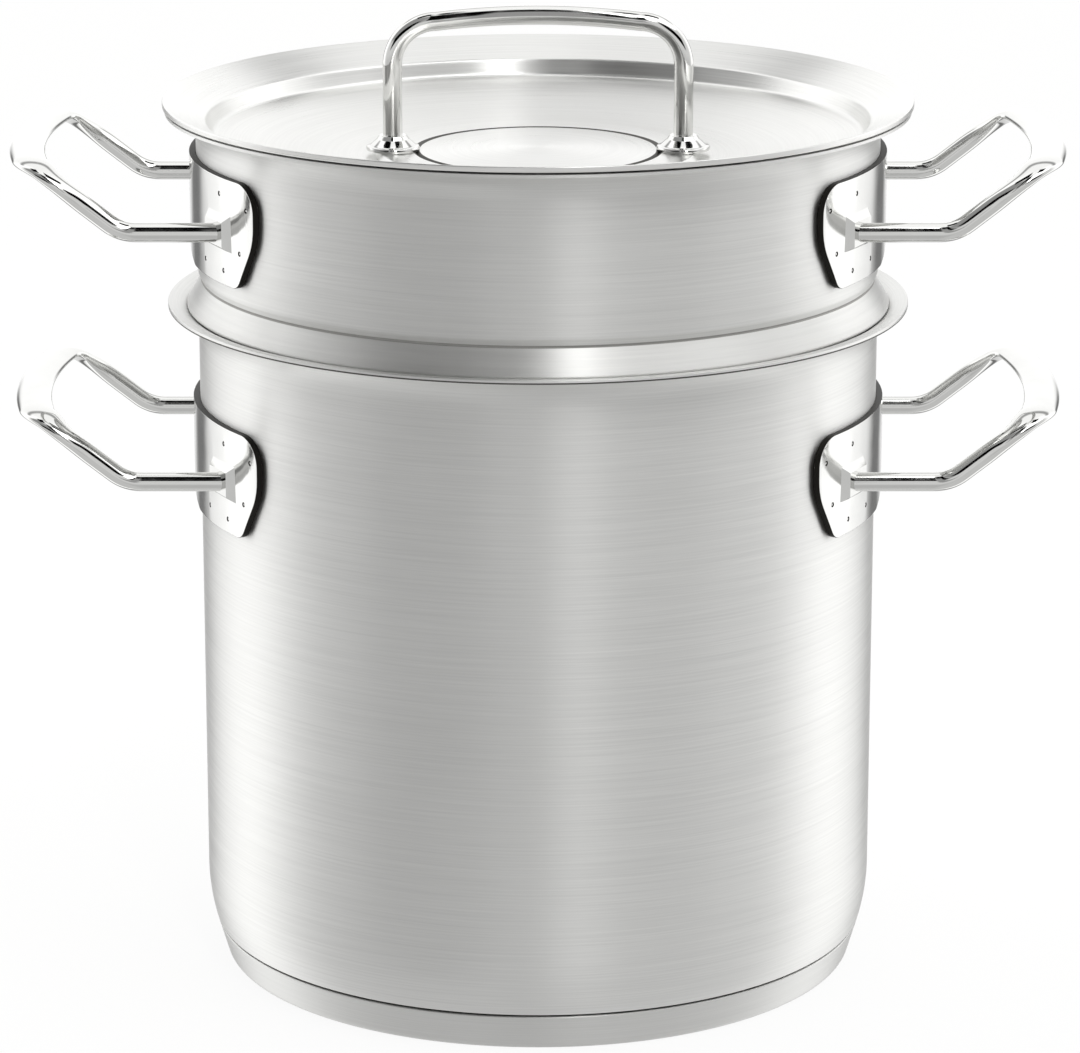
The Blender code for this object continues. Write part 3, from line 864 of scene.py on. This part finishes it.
@dataclass
class LidShell:
    """The lid: centre disc, groove, raised boss, dished panel, step, flange and hemmed edge."""

    finish: Finish
    # Dark colour painted as shade in the groove round the centre disc.
    painted_shade_finish: Finish
    sheet: float = 0.0008
    radius: float = 0.1315
    hem_width: float = 0.0012
    hem_drop: float = 0.0009
    hem_radii: tuple[float, ...] = (0.0004, 0.0005, 0.0004)
    flange_angle: float = 25.8
    flange_low: float = 0.30477
    step_radius: float = 0.1170
    step_depth: float = 0.0058
    step_draft: float = 0.0022
    panel_sag: float = 0.0081
    boss_radius: float = 0.0550
    boss_rise: float = 0.0016
    disc_radius: float = 0.0415
    groove_width: float = 0.0026
    groove_depth: float = 0.0011
    groove_margin: float = 0.00015
    disc_crown: float = 0.0010
    boss_radii: tuple[float, ...] = (0.0005, 0.0002, 0.0004, 0.0012, 0.0016)
    step_foot_radius: float = 0.0022
    step_edge_radius: float = 0.0016
    crown_steps: int = 6
    panel_steps: int = 10
    steps: int = 192

    def flange_height(self, radius: float) -> float:
        """Underside of the sloping flange at a distance from the axis."""
        return self.flange_low + (radius - self.step_radius) * tan(radians(self.flange_angle))

    def top_line(self) -> list[Corner]:
        """The underside's sharp corners moved up to the top, each with its rounding."""
        low = self.flange_height(self.step_radius) - self.step_depth - self.panel_sag
        boss = low + self.boss_rise
        foot = self.step_radius - self.step_draft
        start = self.boss_radius + self.boss_rise
        shares = [i / self.crown_steps for i in range(self.crown_steps)]
        crown = [(self.disc_radius * s, boss + self.disc_crown * (1.0 - s**2)) for s in shares]
        shares = [i / self.panel_steps for i in range(1, self.panel_steps)]
        panel = [(start + (foot - start) * s, low + self.panel_sag * s**2) for s in shares]
        sharp = [
            *crown,
            (self.disc_radius, boss),
            (self.disc_radius + self.groove_width / 2, boss - self.groove_depth),
            (self.disc_radius + self.groove_width, boss),
            (self.boss_radius, boss),
            (start, low),
            *panel,
            (foot, low + self.panel_sag),
            (self.step_radius, self.flange_height(self.step_radius)),
            (self.radius, self.flange_height(self.radius)),
        ]
        radii = [0.0] * len(crown) + list(self.boss_radii)
        radii += [0.0] * len(panel) + [self.step_foot_radius, self.step_edge_radius, 0.0]
        return [(*p, r) for p, r in zip(offset_line(sharp, self.sheet), radii)]

    def section(self) -> list[Point]:
        """Closed section: the underside out to the hem, and the top back to the middle."""
        outside = filleted(self.top_line())
        line = offset_line(outside, -self.sheet)
        top = outside[::-1]
        inner = self.radius - self.hem_width
        low_edge = self.flange_height(inner) - self.hem_drop
        top_edge = self.flange_height(self.radius) + self.sheet
        hem = filleted(
            [
                (*line[-2], 0.0),
                (inner, self.flange_height(inner), 0.0),
                (inner, low_edge, self.hem_radii[0]),
                (self.radius, low_edge, self.hem_radii[1]),
                (self.radius, top_edge, self.hem_radii[2]),
                (*top[1], 0.0),
            ]
        )
        return supported(line[:-1] + hem[1:-1] + top[1:])

    def takes_painted_shade(self, face: Face) -> bool:
        """Whether a face lies in the upper side of the groove round the centre disc, which is
        painted dark as shade.
        """
        middle = face.calc_center_median()
        over = hypot(middle.x, middle.y) - self.disc_radius
        inside = self.groove_margin < over < self.groove_width - self.groove_margin
        return inside and face.normal.z > 0.0

    def build(self) -> None:
        """Spins the lid and hands it over."""
        piece = turn_section("lid_dome", self.section(), self.steps)
        mark_faces(piece, (self.finish, self.painted_shade_finish), self.takes_painted_shade)
        smooth(piece)
        hand_over(piece, "lid", "lid_shell", self.finish)


# Handles


@dataclass
class Bar:
    """A straight bar that is swaged ring by ring and then bent along a line.

    Args:
        name: The piece's name.
        line: The centre line's points, which don't run straight up where across is left out.
        widths: The bar's width at each point.
        thicknesses: The bar's thickness at each point.
        across: The way that its width lies, or None where that stays level and square to the line.
        sides: How many facets go round.
    """

    name: str
    line: list[Vector]
    widths: list[float]
    thicknesses: list[float]
    across: Vector | None = None
    sides: int = 28

    def lengths(self) -> list[float]:
        """Distance of each point from the start, along the line."""
        total = [0.0]
        for here, there in zip(self.line, self.line[1:]):
            total.append(total[-1] + (there - here).length)
        return total

    def straight(self) -> Piece:
        """The bar before it is bent, along +X."""
        clear_selection()
        bpy.ops.mesh.primitive_circle_add(
            vertices=self.sides, radius=0.5, fill_type="NGON", rotation=(0.0, pi / 2, 0.0)
        )
        piece = name_piece(self.name)
        select_whole()
        lengths = self.lengths()
        bpy.ops.transform.resize(
            value=(1.0, self.widths[0], self.thicknesses[0]), center_override=ORIGIN
        )
        for i in range(1, len(lengths)):
            extrude((lengths[i] - lengths[i - 1], 0.0, 0.0))
            wider = self.widths[i] / self.widths[i - 1]
            thicker = self.thicknesses[i] / self.thicknesses[i - 1]
            if max(abs(wider - 1.0), abs(thicker - 1.0)) > 1e-6:
                bpy.ops.transform.resize(
                    value=(1.0, wider, thicker), center_override=(lengths[i], 0.0, 0.0)
                )
        close_surface()
        bpy.ops.object.mode_set(mode="OBJECT")
        return piece

    def build(self) -> Piece:
        """Makes the bar and carries each of its rings to its place across the line."""
        piece = self.straight()
        settle(piece, piece.matrix_world.copy())
        lengths = self.lengths()
        last = len(self.line) - 1
        for vert in piece.data.vertices:
            i = min(bisect_left(lengths, vert.co.x - SAME), last)
            along = self.line[min(i + 1, last)] - self.line[max(i - 1, 0)]
            across = self.across or Vector((-along.y, along.x, 0.0)).normalized()
            up = along.normalized().cross(across)
            vert.co = self.line[i] + across * vert.co.y + up * vert.co.z
        return piece


@dataclass
class SideHandle:
    """A round bar bent up and out, whose middle is flattened into a grip."""

    finish: Finish
    bar: float = 0.0067
    spacing: float = 0.1110
    reach: float = 0.1844
    grip_width: float = 0.0124
    grip_thickness: float = 0.0046
    grip_rise: float = 0.0222
    grip_corner: float = 0.0160
    grip_bow: float = 0.2200
    widening: float = 0.0200
    slope: float = 38.0
    bend_reach: float = 0.1425
    lower_bend: float = 0.0150
    upper_bend: float = 0.0120
    seat_distance: float = 0.1240
    weld_depth: float = 0.0001
    spare_length: float = 0.0160
    straight_steps: int = 44
    corner_steps: int = 18
    bow_steps: int = 14

    def rise(self, reach: float) -> float:
        """Height of the bar's centre line at a distance out from the pot's axis."""
        slope = radians(self.slope)
        lower = self.lower_bend * tan(slope / 2)
        upper = self.upper_bend * tan(slope / 2)
        top = self.bend_reach + self.grip_rise / tan(slope)
        if reach <= self.bend_reach - lower:
            return 0.0
        if reach <= self.bend_reach + lower * cos(slope):
            run = reach - self.bend_reach + lower
            return self.lower_bend - sqrt(self.lower_bend**2 - run**2)
        if reach <= top - upper * cos(slope):
            return (reach - self.bend_reach) * tan(slope)
        if reach <= top + upper:
            run = top + upper - reach
            return self.grip_rise - self.upper_bend + sqrt(self.upper_bend**2 - run**2)
        return self.grip_rise

    @property
    def bow_centre(self) -> float:
        """Distance from the pot's axis to the centre of the grip's bow."""
        return self.reach - self.grip_width / 2 - self.grip_bow

    def corner(self) -> tuple[Point, float]:
        """Centre of the grip's corner, and the angle at which the bow runs into it."""
        inward = self.grip_bow - self.grip_corner
        across = self.spacing / 2 - self.grip_corner
        return (self.bow_centre + sqrt(inward**2 - across**2), across), asin(across / inward)

    def half_plan(self) -> list[Point]:
        """Plan points of half the handle, from inside its seat to the middle of the grip."""
        half = self.spacing / 2
        centre, angle = self.corner()
        start = self.seat_distance - self.spare_length
        run = (centre[0] - start) / self.straight_steps
        straight = [(start + run * i, half) for i in range(self.straight_steps)]
        turn = arc(centre, self.grip_corner, 90.0, degrees(angle), self.corner_steps)
        bow = arc((self.bow_centre, 0.0), self.grip_bow, degrees(angle), 0.0, self.bow_steps)
        return straight + [p[:2] for p in turn + bow[1:]]

    def build_one(self) -> Piece:
        """One handle on +X with its bar's axis at height 0, trimmed to its two flat seats."""
        half = self.half_plan()
        plan = half + [(x, -y) for x, y in half[-2::-1]]
        line = [Vector((x, y, self.rise(x))) for x, y in plan]
        centre, angle = self.corner()
        grip_start = centre[0] + self.grip_corner * cos(angle)
        widths, thicknesses = [], []
        for x, _ in plan:
            share = min(max(1.0 - (grip_start - x) / self.widening, 0.0), 1.0)
            share *= share * (3.0 - 2.0 * share)
            widths.append(self.bar + (self.grip_width - self.bar) * share)
            thicknesses.append(self.bar + (self.grip_thickness - self.bar) * share)
        piece = Bar("side_handle", line, widths, thicknesses).build()
        seat = asin(self.spacing / 2 / self.seat_distance)
        reopen(piece)
        for way in BOTH_WAYS[::-1]:
            normal = Vector((cos(seat), way * sin(seat), 0.0))
            pick(piece, Pick.VERT, lambda place: place.y * way > 0.0)
            bpy.ops.mesh.bisect(
                plane_co=normal * (self.seat_distance - self.weld_depth),
                plane_no=normal,
                use_fill=True,
                clear_inner=True,
            )
        close_surface()
        smooth(piece)
        return piece


@dataclass
class HandleBracket:
    """A polished plate bent round the wall, with a raised flat seat for each bar end."""

    finish: Finish
    # Nearly black: the dull cut edge, painted darker as the shade of the gap against the wall.
    edge_and_shade_finish: Finish
    shell_radius: float = 0.1200
    thickness: float = 0.0024
    top: float = 0.0197
    bottom: float = -0.0175
    notch_rise: float = 0.0048
    notch_angle: float = 13.0
    notch_floor_angle: float = 3.0
    half_angle: float = 38.3
    tip_angle: float = 33.3
    top_corner: float = 0.0100
    side_corner: float = 0.0200
    tip_corner: float = 0.0055
    notch_corner: float = 0.0100
    seat_rise: float = 0.0016
    seat_angle: float = 26.59
    seat_half_width: float = 0.0070
    seat_heights: Point = (-0.0043, 0.0046)
    flank_heights: Point = (-0.0052, 0.0072)
    flank_near: float = 0.0085
    flank_far: float = 0.0104
    edge_radius: float = 0.0003
    edge_facing: float = 0.95
    wrap_step: float = 2.5
    weld_spots: tuple[Point, ...] = (
        (27.5, 13.8),
        (36.3, 10.9),
        (34.2, -4.7),
        (28.7, -12.5),
        (20.8, -11.5),
    )
    spot_ball: float = 0.0016
    spot_depth: float = 0.0003
    ball_facets: int = 24
    bevel_angle: float = 50.0
    flat_angle: float = 0.5

    @property
    def outer_radius(self) -> float:
        """Radius of the plate's outer face."""
        return self.shell_radius + self.thickness

    @property
    def edges(self) -> tuple[float, ...]:
        """Where a seat and its flanks start and end, along the plate from the seat's middle."""
        return (-self.flank_near, -self.seat_half_width, self.seat_half_width, self.flank_far)

    def along(self, angle: float) -> float:
        """Length along the flat plate for an angle round the wall, in degrees."""
        return radians(angle) * self.outer_radius

    def outline(self) -> list[Vector]:
        """Outline of the flat plate: length round the wall and height."""
        notch = self.bottom + self.notch_rise
        right = filleted(
            [
                (0.0, self.top, 0.0),
                (self.along(self.half_angle), self.top, self.top_corner),
                (self.along(self.half_angle), 0.0, self.side_corner),
                (self.along(self.tip_angle), self.bottom, self.tip_corner),
                (self.along(self.notch_angle), self.bottom, self.notch_corner),
                (self.along(self.notch_floor_angle), notch, self.notch_corner),
                (0.0, notch, 0.0),
            ],
            step_angle=6.0,
        )
        points = right[1:-1] + [(-s, z) for s, z in right[-2:0:-1]]
        return [Vector((s, z, 0.0)) for s, z in points]

    def cut(self, place: Point, normal: Point) -> None:
        """Draws a line across the selected faces of the flat plate."""
        bpy.ops.mesh.bisect(plane_co=(*place, 0.0), plane_no=(*normal, 0.0))

    def spot_balls(self) -> Piece:
        """Balls that press the weld spots into the flat plate's outer face."""
        clear_selection()
        balls = None
        lift = self.thickness + self.spot_ball - self.spot_depth
        for angle, height in self.weld_spots:
            for way in BOTH_WAYS:
                bpy.ops.mesh.primitive_uv_sphere_add(
                    segments=self.ball_facets,
                    ring_count=self.ball_facets,
                    radius=self.spot_ball,
                    location=(way * self.along(angle), height * MM, lift),
                )
                ball = bpy.context.object
                if balls is None:
                    balls = ball
                else:
                    select_only(balls)
                    ball.select_set(True)
                    bpy.ops.object.join()
        balls.name = "spot_balls"
        settle(balls, balls.matrix_world.copy())
        return balls

    def flat_plate(self) -> Piece:
        """The flat plate, with lines drawn across it where seats and flanks start and end."""
        piece = draw_chain("handle_bracket", self.outline())
        select_whole()
        bpy.ops.mesh.edge_face_add()
        seat = self.along(self.seat_angle)
        places = [(way * (seat + edge), 0.0) for edge in self.edges for way in BOTH_WAYS]
        cuts = [(place, (1.0, 0.0)) for place in places]
        heights = (*self.seat_heights, *self.flank_heights)
        cuts += [((0.0, height), (0.0, 1.0)) for height in heights]
        for place, normal in cuts:
            select_whole()
            self.cut(place, normal)
        bpy.ops.mesh.select_mode(type="FACE")
        select_whole()
        extrude((0.0, 0.0, self.thickness))
        return piece

    def raise_seats(self, piece: Piece) -> None:
        """Lifts the seats of the flat plate, with sloping flanks that meet in ridges."""
        seat = self.along(self.seat_angle)
        low, high = self.seat_heights
        foot, head = self.flank_heights

        def on_seat(place: Vector) -> bool:
            beside = abs(abs(place.x) - seat) < self.seat_half_width + SAME
            outside = place.z > self.thickness - EXACT
            return outside and beside and low - SAME < place.y < high + SAME

        pick(piece, Pick.VERT, on_seat)
        bpy.ops.transform.translate(value=(0.0, 0.0, self.seat_rise))
        for way in BOTH_WAYS:
            for inner, outer in (self.edges[1::-1], self.edges[2:]):
                for rim, end in ((low, foot), (high, head)):
                    ridge = [
                        Vector((way * (seat + inner), rim, self.thickness + self.seat_rise)),
                        Vector((way * (seat + outer), end, self.thickness)),
                    ]
                    pick(piece, Pick.VERT, lambda v: min((v - p).length for p in ridge) < SAME)
                    bpy.ops.mesh.vert_connect()
        close_surface()
        select_whole()
        bpy.ops.mesh.dissolve_limited(angle_limit=radians(self.flat_angle))

    def build_one(self) -> Piece:
        """One bracket on +X with its bars' axis at height 0."""
        piece = self.flat_plate()
        self.raise_seats(piece)
        apply_modifier(
            piece,
            "BEVEL",
            width=self.edge_radius,
            segments=3,
            limit_method="ANGLE",
            angle_limit=radians(self.bevel_angle),
        )
        cut_away(piece, self.spot_balls())
        reopen(piece)
        span = int(self.half_angle / self.wrap_step) + 1
        for i in range(-span, span + 1):
            pick(piece, Pick.FACE, self.off_seat)
            self.cut((self.along(i * self.wrap_step), 0.0), (1.0, 0.0))
        select_whole()
        bpy.ops.mesh.quads_convert_to_tris()
        mark_faces(piece, (self.finish, self.edge_and_shade_finish), self.takes_edge_shade)
        self.wrap(piece)
        smooth(piece, angle=20.0, weighted=True)
        return piece

    def off_seat(self, middle: Vector) -> bool:
        """Whether a face of the flat plate lies outside the seats and their flanks."""
        beside = abs(middle.x) - self.along(self.seat_angle)
        foot, head = self.flank_heights
        over = -self.flank_near < beside < self.flank_far and foot < middle.y < head
        return middle.z < self.thickness - EXACT or not over

    def takes_edge_shade(self, face: Face) -> bool:
        """Whether a face belongs to the flat plate's cut edge or to its rounding, which are dull
        and painted nearly black as the shade of the gap by the wall.
        """
        middle = face.calc_center_median()
        beside = min(abs(middle.z), abs(middle.z - self.thickness)) > EXACT
        return beside and abs(face.normal.z) < self.edge_facing and self.off_seat(middle)

    def wrap(self, piece: Piece) -> None:
        """Bends the flat plate round the wall, leaving each seat flat."""
        mesh = bmesh.from_edit_mesh(piece.data)
        raised = self.thickness + self.seat_rise - SAME
        middle = radians(self.seat_angle)
        for vert in mesh.verts:
            angle = vert.co.x / self.outer_radius
            radius = self.shell_radius + vert.co.z
            if vert.co.z > raised:
                radius = (self.outer_radius + self.seat_rise) / cos(abs(angle) - middle)
            vert.co = (radius * cos(angle), radius * sin(angle), vert.co.y)
        bmesh.update_edit_mesh(piece.data)
        close_surface()


@dataclass
class SideHandles:
    """The four side handles and brackets, each modelled once and copied."""

    handle: SideHandle
    bracket: HandleBracket
    heights: tuple[tuple[str, float], ...] = (("pot", 0.1870), ("insert", 0.2749))

    def build(self) -> None:
        """Copies the handle and the bracket to both sides of the pot and of the insert."""
        handle = self.handle.build_one()
        bracket = self.bracket.build_one()
        patterns = (
            (bracket, "plate", "bracket", "polished_plate_steel", self.bracket.finish),
            (handle, "grip", "handle", "polished_bar_steel", self.handle.finish),
        )
        for owner, height in self.heights:
            for side in Side:
                place = Matrix.Translation((0.0, 0.0, height))
                place @= Matrix.Rotation(radians(side.turn), 4, "Z")
                for piece, name, node, slot, finish in patterns:
                    twin = copy_piece(piece, f"{owner}_{name}_{side.value}", place)
                    hand_over(twin, owner, f"{owner}_{node}_{side.value}", finish)
        discard(handle)
        discard(bracket)


@dataclass
class LidHandle:
    """The lid's bridge handle and the two turned feet that it stands on."""

    finish: Finish
    foot_finish: Finish
    bar: float = 0.0068
    spacing: float = 0.1020
    height: float = 0.0475
    corner: float = 0.0155
    arch: float = 0.0022
    panel_height: float = 0.29327
    foot_diameter: float = 0.0190
    foot_height: float = 0.0052
    foot_rim: float = 0.0014
    neck_diameter: float = 0.0096
    foot_edge: float = 0.0003
    hollow_start: Point = (0.0013, 0.0002)
    hollow_end: Point = (0.0009, 0.0014)
    hollow_radii: Point = (0.0010, 0.0008)
    collar_edge: float = 0.0004
    leg_start: float = 0.0012
    line_steps: int = 10
    corner_steps: int = 18
    steps: int = 64

    def line(self) -> list[Vector]:
        """Centre line of the bar, from inside the left foot to inside the right one."""
        half = self.spacing / 2
        shoulder = self.height - self.arch - self.corner
        shares = [i / self.line_steps for i in range(self.line_steps + 1)]
        leg = [(half, self.leg_start + (shoulder - self.leg_start) * s) for s in shares[:-1]]
        bend = arc((half - self.corner, shoulder), self.corner, 0.0, 90.0, self.corner_steps)
        top = [((half - self.corner) * s, self.height - self.arch * s**2) for s in shares[-2::-1]]
        right = leg + [p[:2] for p in bend] + top
        points = right + [(-x, z) for x, z in right[-2::-1]]
        return [Vector((x, 0.0, self.panel_height + z)) for x, z in points]

    def foot_section(self) -> list[Point]:
        """Section of a foot: a low rim, a hollow and a collar round the bar."""
        rim = self.foot_diameter / 2
        neck = self.neck_diameter / 2
        inward, up = self.hollow_start
        outward, down = self.hollow_end
        return filleted(
            [
                (0.0, 0.0, 0.0),
                (rim - 0.2 * MM, 0.0, 0.0),
                (rim, self.foot_rim / 2, self.foot_edge),
                (rim - self.foot_edge, self.foot_rim, self.foot_edge),
                (rim - inward, self.foot_rim + up, self.hollow_radii[0]),
                (neck + outward, self.foot_height - down, self.hollow_radii[1]),
                (neck, self.foot_height, self.collar_edge),
                (0.0, self.foot_height, 0.0),
            ],
            step_angle=12.0,
        )

    def build(self) -> None:
        """Bends the bar, turns a foot, and hands all three over."""
        line = self.line()
        size = [self.bar] * len(line)
        bridge = Bar("lid_bridge", line, size, size, Vector((0.0, 1.0, 0.0)), sides=32).build()
        smooth(bridge)
        hand_over(bridge, "lid", "lid_handle", self.finish)
        foot = turn_section("foot", supported(self.foot_section()), self.steps)
        smooth(foot)
        for side in Side:
            name = side.value
            place = Matrix.Translation((side.sign * self.spacing / 2, 0.0, self.panel_height))
            twin = copy_piece(foot, f"foot_{name}", place)
            hand_over(twin, "lid", f"lid_foot_{name}", self.foot_finish)
        discard(foot)


# Studio


@dataclass(frozen=True)
class Softbox:
    """A rectangular studio light.

    Args:
        name: The light's name.
        place: Its middle.
        aim: The point that it faces.
        width: Its width in metres.
        height: Its height in metres.
        radiance: How bright its face is, where 1 is white.
    """

    name: str
    place: Place
    aim: Place
    width: float
    height: float
    radiance: float

    def build(self) -> None:
        """Adds the light, unseen by the camera and in the metal, which mirrors the zones."""
        clear_selection()
        way = Vector(self.aim) - Vector(self.place)
        turn = way.to_track_quat("-Z", "Y").to_euler()
        bpy.ops.object.light_add(type="AREA", location=self.place, rotation=turn)
        light = bpy.context.object
        light.name = self.name
        light.data.shape = "RECTANGLE"
        light.data.size = self.width
        light.data.size_y = self.height
        # Cycles takes a quarter of the watts per square metre as the face's brightness.
        light.data.energy = self.radiance * 4.0 * self.width * self.height
        light.visible_camera = False
        light.visible_glossy = False


@dataclass(frozen=True)
class Zone:
    """A patch of the surroundings that metal mirrors, such as a softbox, a flag or the table.

    Args:
        sides: Where it starts and ends sideways, in degrees from the camera's side towards +X.
            It lies on both sides alike where both is set.
        heights: Where it starts and ends in height, in degrees from the horizon.
        level: Its brightness, where 1 is white.
        soft: How far its edges fade, in degrees: sideways and in height.
        both: Whether it is repeated on the other side.
        board: Whether it is a board that runs over the pot from front to back. Its side is then
            the tilt out of the middle plane, and its height the turn from the front horizon over
            the top.
    """

    sides: Point
    heights: Point
    level: float
    soft: Point
    both: bool = True
    board: bool = False


@dataclass
class Studio:
    """A plain pale floor, a soft light, the surroundings that the steel mirrors, and the camera."""

    camera_place: Place = (0.0, -1.666, 0.610)
    camera_pitch: float = 74.75
    focal_pixels: float = 4811.0
    shift_pixels: float = 1.93
    sensor: float = 36.0
    floor_size: float = 8.0
    floor_colour: str = "#F4F4F2"
    floor_shade: float = 0.10
    plain_level: float = 0.84
    zones: tuple[Zone, ...] = (
        Zone((-5.0, 100.0), (-95.0, -22.0), 0.62, (6.0, 22.0)),
        Zone((12.0, 75.0), (-95.0, -2.0), 0.72, (10.0, 8.0)),
        Zone((-5.0, 185.0), (72.0, 95.0), 1.30, (4.0, 8.0)),
        Zone((101.0, 195.0), (-8.0, 95.0), 1.30, (28.0, 10.0)),
        Zone((102.0, 134.0), (-95.0, 95.0), 1.60, (42.0, 6.0)),
        Zone((146.0, 163.0), (-95.0, 8.0), 0.22, (10.0, 10.0)),
        Zone((125.0, 185.0), (36.0, 46.0), 0.45, (16.0, 7.0)),
        Zone((-96.0, -10.0), (20.0, 66.0), 0.36, (20.0, 8.0), both=False),
        Zone((4.0, 96.0), (38.0, 76.0), 2.1, (6.0, 6.0), both=False),
        Zone((16.0, 56.0), (11.0, 40.0), 0.0, (3.0, 3.0), board=True),
        Zone((-9.0, -3.2), (22.0, 76.0), 0.0, (1.0, 3.0), both=False, board=True),
        Zone((3.2, 6.5), (22.0, 76.0), 0.0, (1.0, 3.0), both=False, board=True),
        Zone((-3.2, 3.2), (-4.0, 48.0), 0.40, (1.0, 4.0), both=False, board=True),
        Zone((-3.2, 3.2), (48.0, 76.0), 0.03, (1.0, 4.0), both=False, board=True),
        Zone((7.0, 26.0), (78.0, 100.0), 0.0, (2.0, 3.0), board=True),
        Zone((11.0, 19.0), (30.0, 72.0), 6.0, (3.0, 5.0), both=False),
    )
    softboxes: tuple[Softbox, ...] = (
        Softbox("top_box", (-0.25, -0.20, 1.80), (0.0, 0.0, 0.0), 1.60, 1.60, 0.9),
    )

    def build_camera(self) -> None:
        """The camera that the photograph was taken with, as fitted to its rims."""
        clear_selection()
        bpy.ops.object.camera_add(
            location=self.camera_place, rotation=(radians(self.camera_pitch), 0.0, 0.0)
        )
        camera = bpy.context.object
        camera.name = "photo_camera"
        camera.data.sensor_fit = "HORIZONTAL"
        camera.data.sensor_width = self.sensor
        camera.data.lens = self.focal_pixels * self.sensor / PHOTO_WIDTH
        camera.data.shift_x = self.shift_pixels / PHOTO_WIDTH
        bpy.context.scene.camera = camera

    def seen_directly(self, tree: Tree) -> Socket:
        """1 for rays that show surroundings as such: camera, glossy and transmission rays."""
        rays = add_node(tree, "LightPath").outputs
        seen = calculate(tree, "MAXIMUM", rays["Is Camera Ray"], rays["Is Glossy Ray"])
        return calculate(tree, "MAXIMUM", seen, rays["Is Transmission Ray"])

    def window(self, tree: Tree, angle: Socket, span: Point, soft: float) -> Socket:
        """1 where an angle lies in a span in degrees, fading to 0 across its ends."""
        edges = []
        for end in span:
            fade = {
                "Value": angle,
                "From Min": radians(end - soft / 2),
                "From Max": radians(end + soft / 2),
            }
            edge = add_node(tree, "MapRange", fade, interpolation_type="SMOOTHSTEP")
            edges.append(edge.outputs[0])
        return calculate(tree, "SUBTRACT", *edges)

    def mirrored_level(self, tree: Tree) -> Socket:
        """Brightness of the surroundings in each direction, zone painted over zone."""
        way = add_node(tree, "TexCoord").outputs["Generated"]
        axes = add_node(tree, "SeparateXYZ", {0: way}).outputs
        front = calculate(tree, "MULTIPLY", axes["Y"], -1.0)
        height = calculate(tree, "ARCSINE", axes["Z"])
        over = calculate(tree, "ARCTAN2", axes["Z"], front)
        side = calculate(tree, "ARCTAN2", axes["X"], front)
        tilt = calculate(tree, "ARCSINE", axes["X"])
        level = self.plain_level
        for zone in self.zones:
            sideways, upwards = (tilt, over) if zone.board else (side, height)
            if zone.both:
                sideways = calculate(tree, "ABSOLUTE", sideways)
            across = self.window(tree, sideways, zone.sides, zone.soft[0])
            upright = self.window(tree, upwards, zone.heights, zone.soft[1])
            inside = calculate(tree, "MULTIPLY", across, upright)
            paint = {"Factor": inside, "A": level, "B": zone.level}
            level = add_node(tree, "Mix", paint).outputs[0]
        return level

    def build_world(self) -> None:
        """White surroundings for the camera, and the zones for the metal to mirror."""
        world = bpy.data.worlds.new("studio")
        bpy.context.scene.world = world
        tree = fresh_tree(world)
        seen = add_node(tree, "LightPath").outputs["Is Camera Ray"]
        shown = {"Factor": seen, "A": self.mirrored_level(tree), "B": 1.0}
        strength = add_node(tree, "Mix", shown).outputs[0]
        white = {"Color": (1.0, 1.0, 1.0, 1.0), "Strength": strength}
        background = add_node(tree, "Background", white)
        add_node(tree, "OutputWorld", {"Surface": background.outputs[0]})

    def build_floor(self) -> None:
        """A plain pale floor that keeps the pot's soft shadow; the zones stand for it in metal."""
        clear_selection()
        bpy.ops.mesh.primitive_plane_add(size=self.floor_size, location=ORIGIN)
        floor = name_piece("studio_floor")
        bpy.ops.object.mode_set(mode="OBJECT")
        material = bpy.data.materials.new("studio_floor")
        tree = fresh_tree(material)
        colour = {"Color": linear(self.floor_colour)}
        matt = add_node(tree, "BsdfDiffuse", colour).outputs[0]
        glow = add_node(tree, "Emission").outputs[0]
        share = calculate(tree, "MULTIPLY", self.seen_directly(tree), 1.0 - self.floor_shade)
        mixed = add_node(tree, "MixShader", {0: share, 1: matt, 2: glow})
        add_node(tree, "OutputMaterial", {"Surface": mixed.outputs[0]})
        floor.data.materials.append(material)
        # The zones below the horizon stand for the table, so the floor keeps none of them back.
        floor.visible_glossy = False
        floor.visible_shadow = False

    def build(self) -> None:
        """Builds the studio round the finished object."""
        self.build_floor()
        for softbox in self.softboxes:
            softbox.build()
        self.build_world()
        self.build_camera()
        bpy.context.scene.view_settings.view_transform = "Standard"


def main() -> None:
    """Builds each sub-assembly in order, then the studio."""
    logging.basicConfig(level=logging.INFO, format="%(message)s")
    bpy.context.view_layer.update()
    body_steel = BrushedSteel("brushed_steel_wall")
    base_steel = BrushedSteel("brushed_steel_base", light="#DDDDDB", dark="#CACAC8")
    insert_steel = BrushedSteel("brushed_steel_insert")
    # Grey painted as the shade in the insert's crease.
    crease_shade_steel = GrainyMetal("steel_crease_in_painted_shade", "#A6A5A2", "#92918E", 0.5, 0.3, 0.01)
    lid_steel = BrushedSteel("satin_steel_lid", roughness=0.30, anisotropy=0.6)
    bar_steel = PolishedSteel("polished_steel_bar")
    plate_steel = PolishedSteel("polished_steel_plate", roughness=0.09)
    foot_steel = PolishedSteel("polished_steel_foot", roughness=0.08)
    core_metal = GrainyMetal("cast_aluminium")
    # Nearly black for the plates' cut edges: dull steel, painted darker as the shade of the gap by
    # the wall.
    edge_shade_steel = GrainyMetal("sheared_edge_painted_shade", "#34322F", "#232220", 0.5, 0.3, 0.01)
    # Dark grey painted as the shade in the pot's seam, under its rim's edge and in the lid's
    # groove.
    painted_shade_steel = GrainyMetal("steel_in_painted_shade", "#62615E", "#4E4D4A", 0.5, 0.3, 0.01)
    shell = PotShell(body_steel, painted_shade_steel)
    shell.build()
    CapsuleBase(base_steel, core_metal).build()
    StrainerInsert(insert_steel, crease_shade_steel, shell).build()
    LidShell(lid_steel, painted_shade_steel).build()
    SideHandles(SideHandle(bar_steel), HandleBracket(plate_steel, edge_shade_steel)).build()
    LidHandle(bar_steel, foot_steel).build()
    Studio().build()


if __name__ == "__main__":
    main()
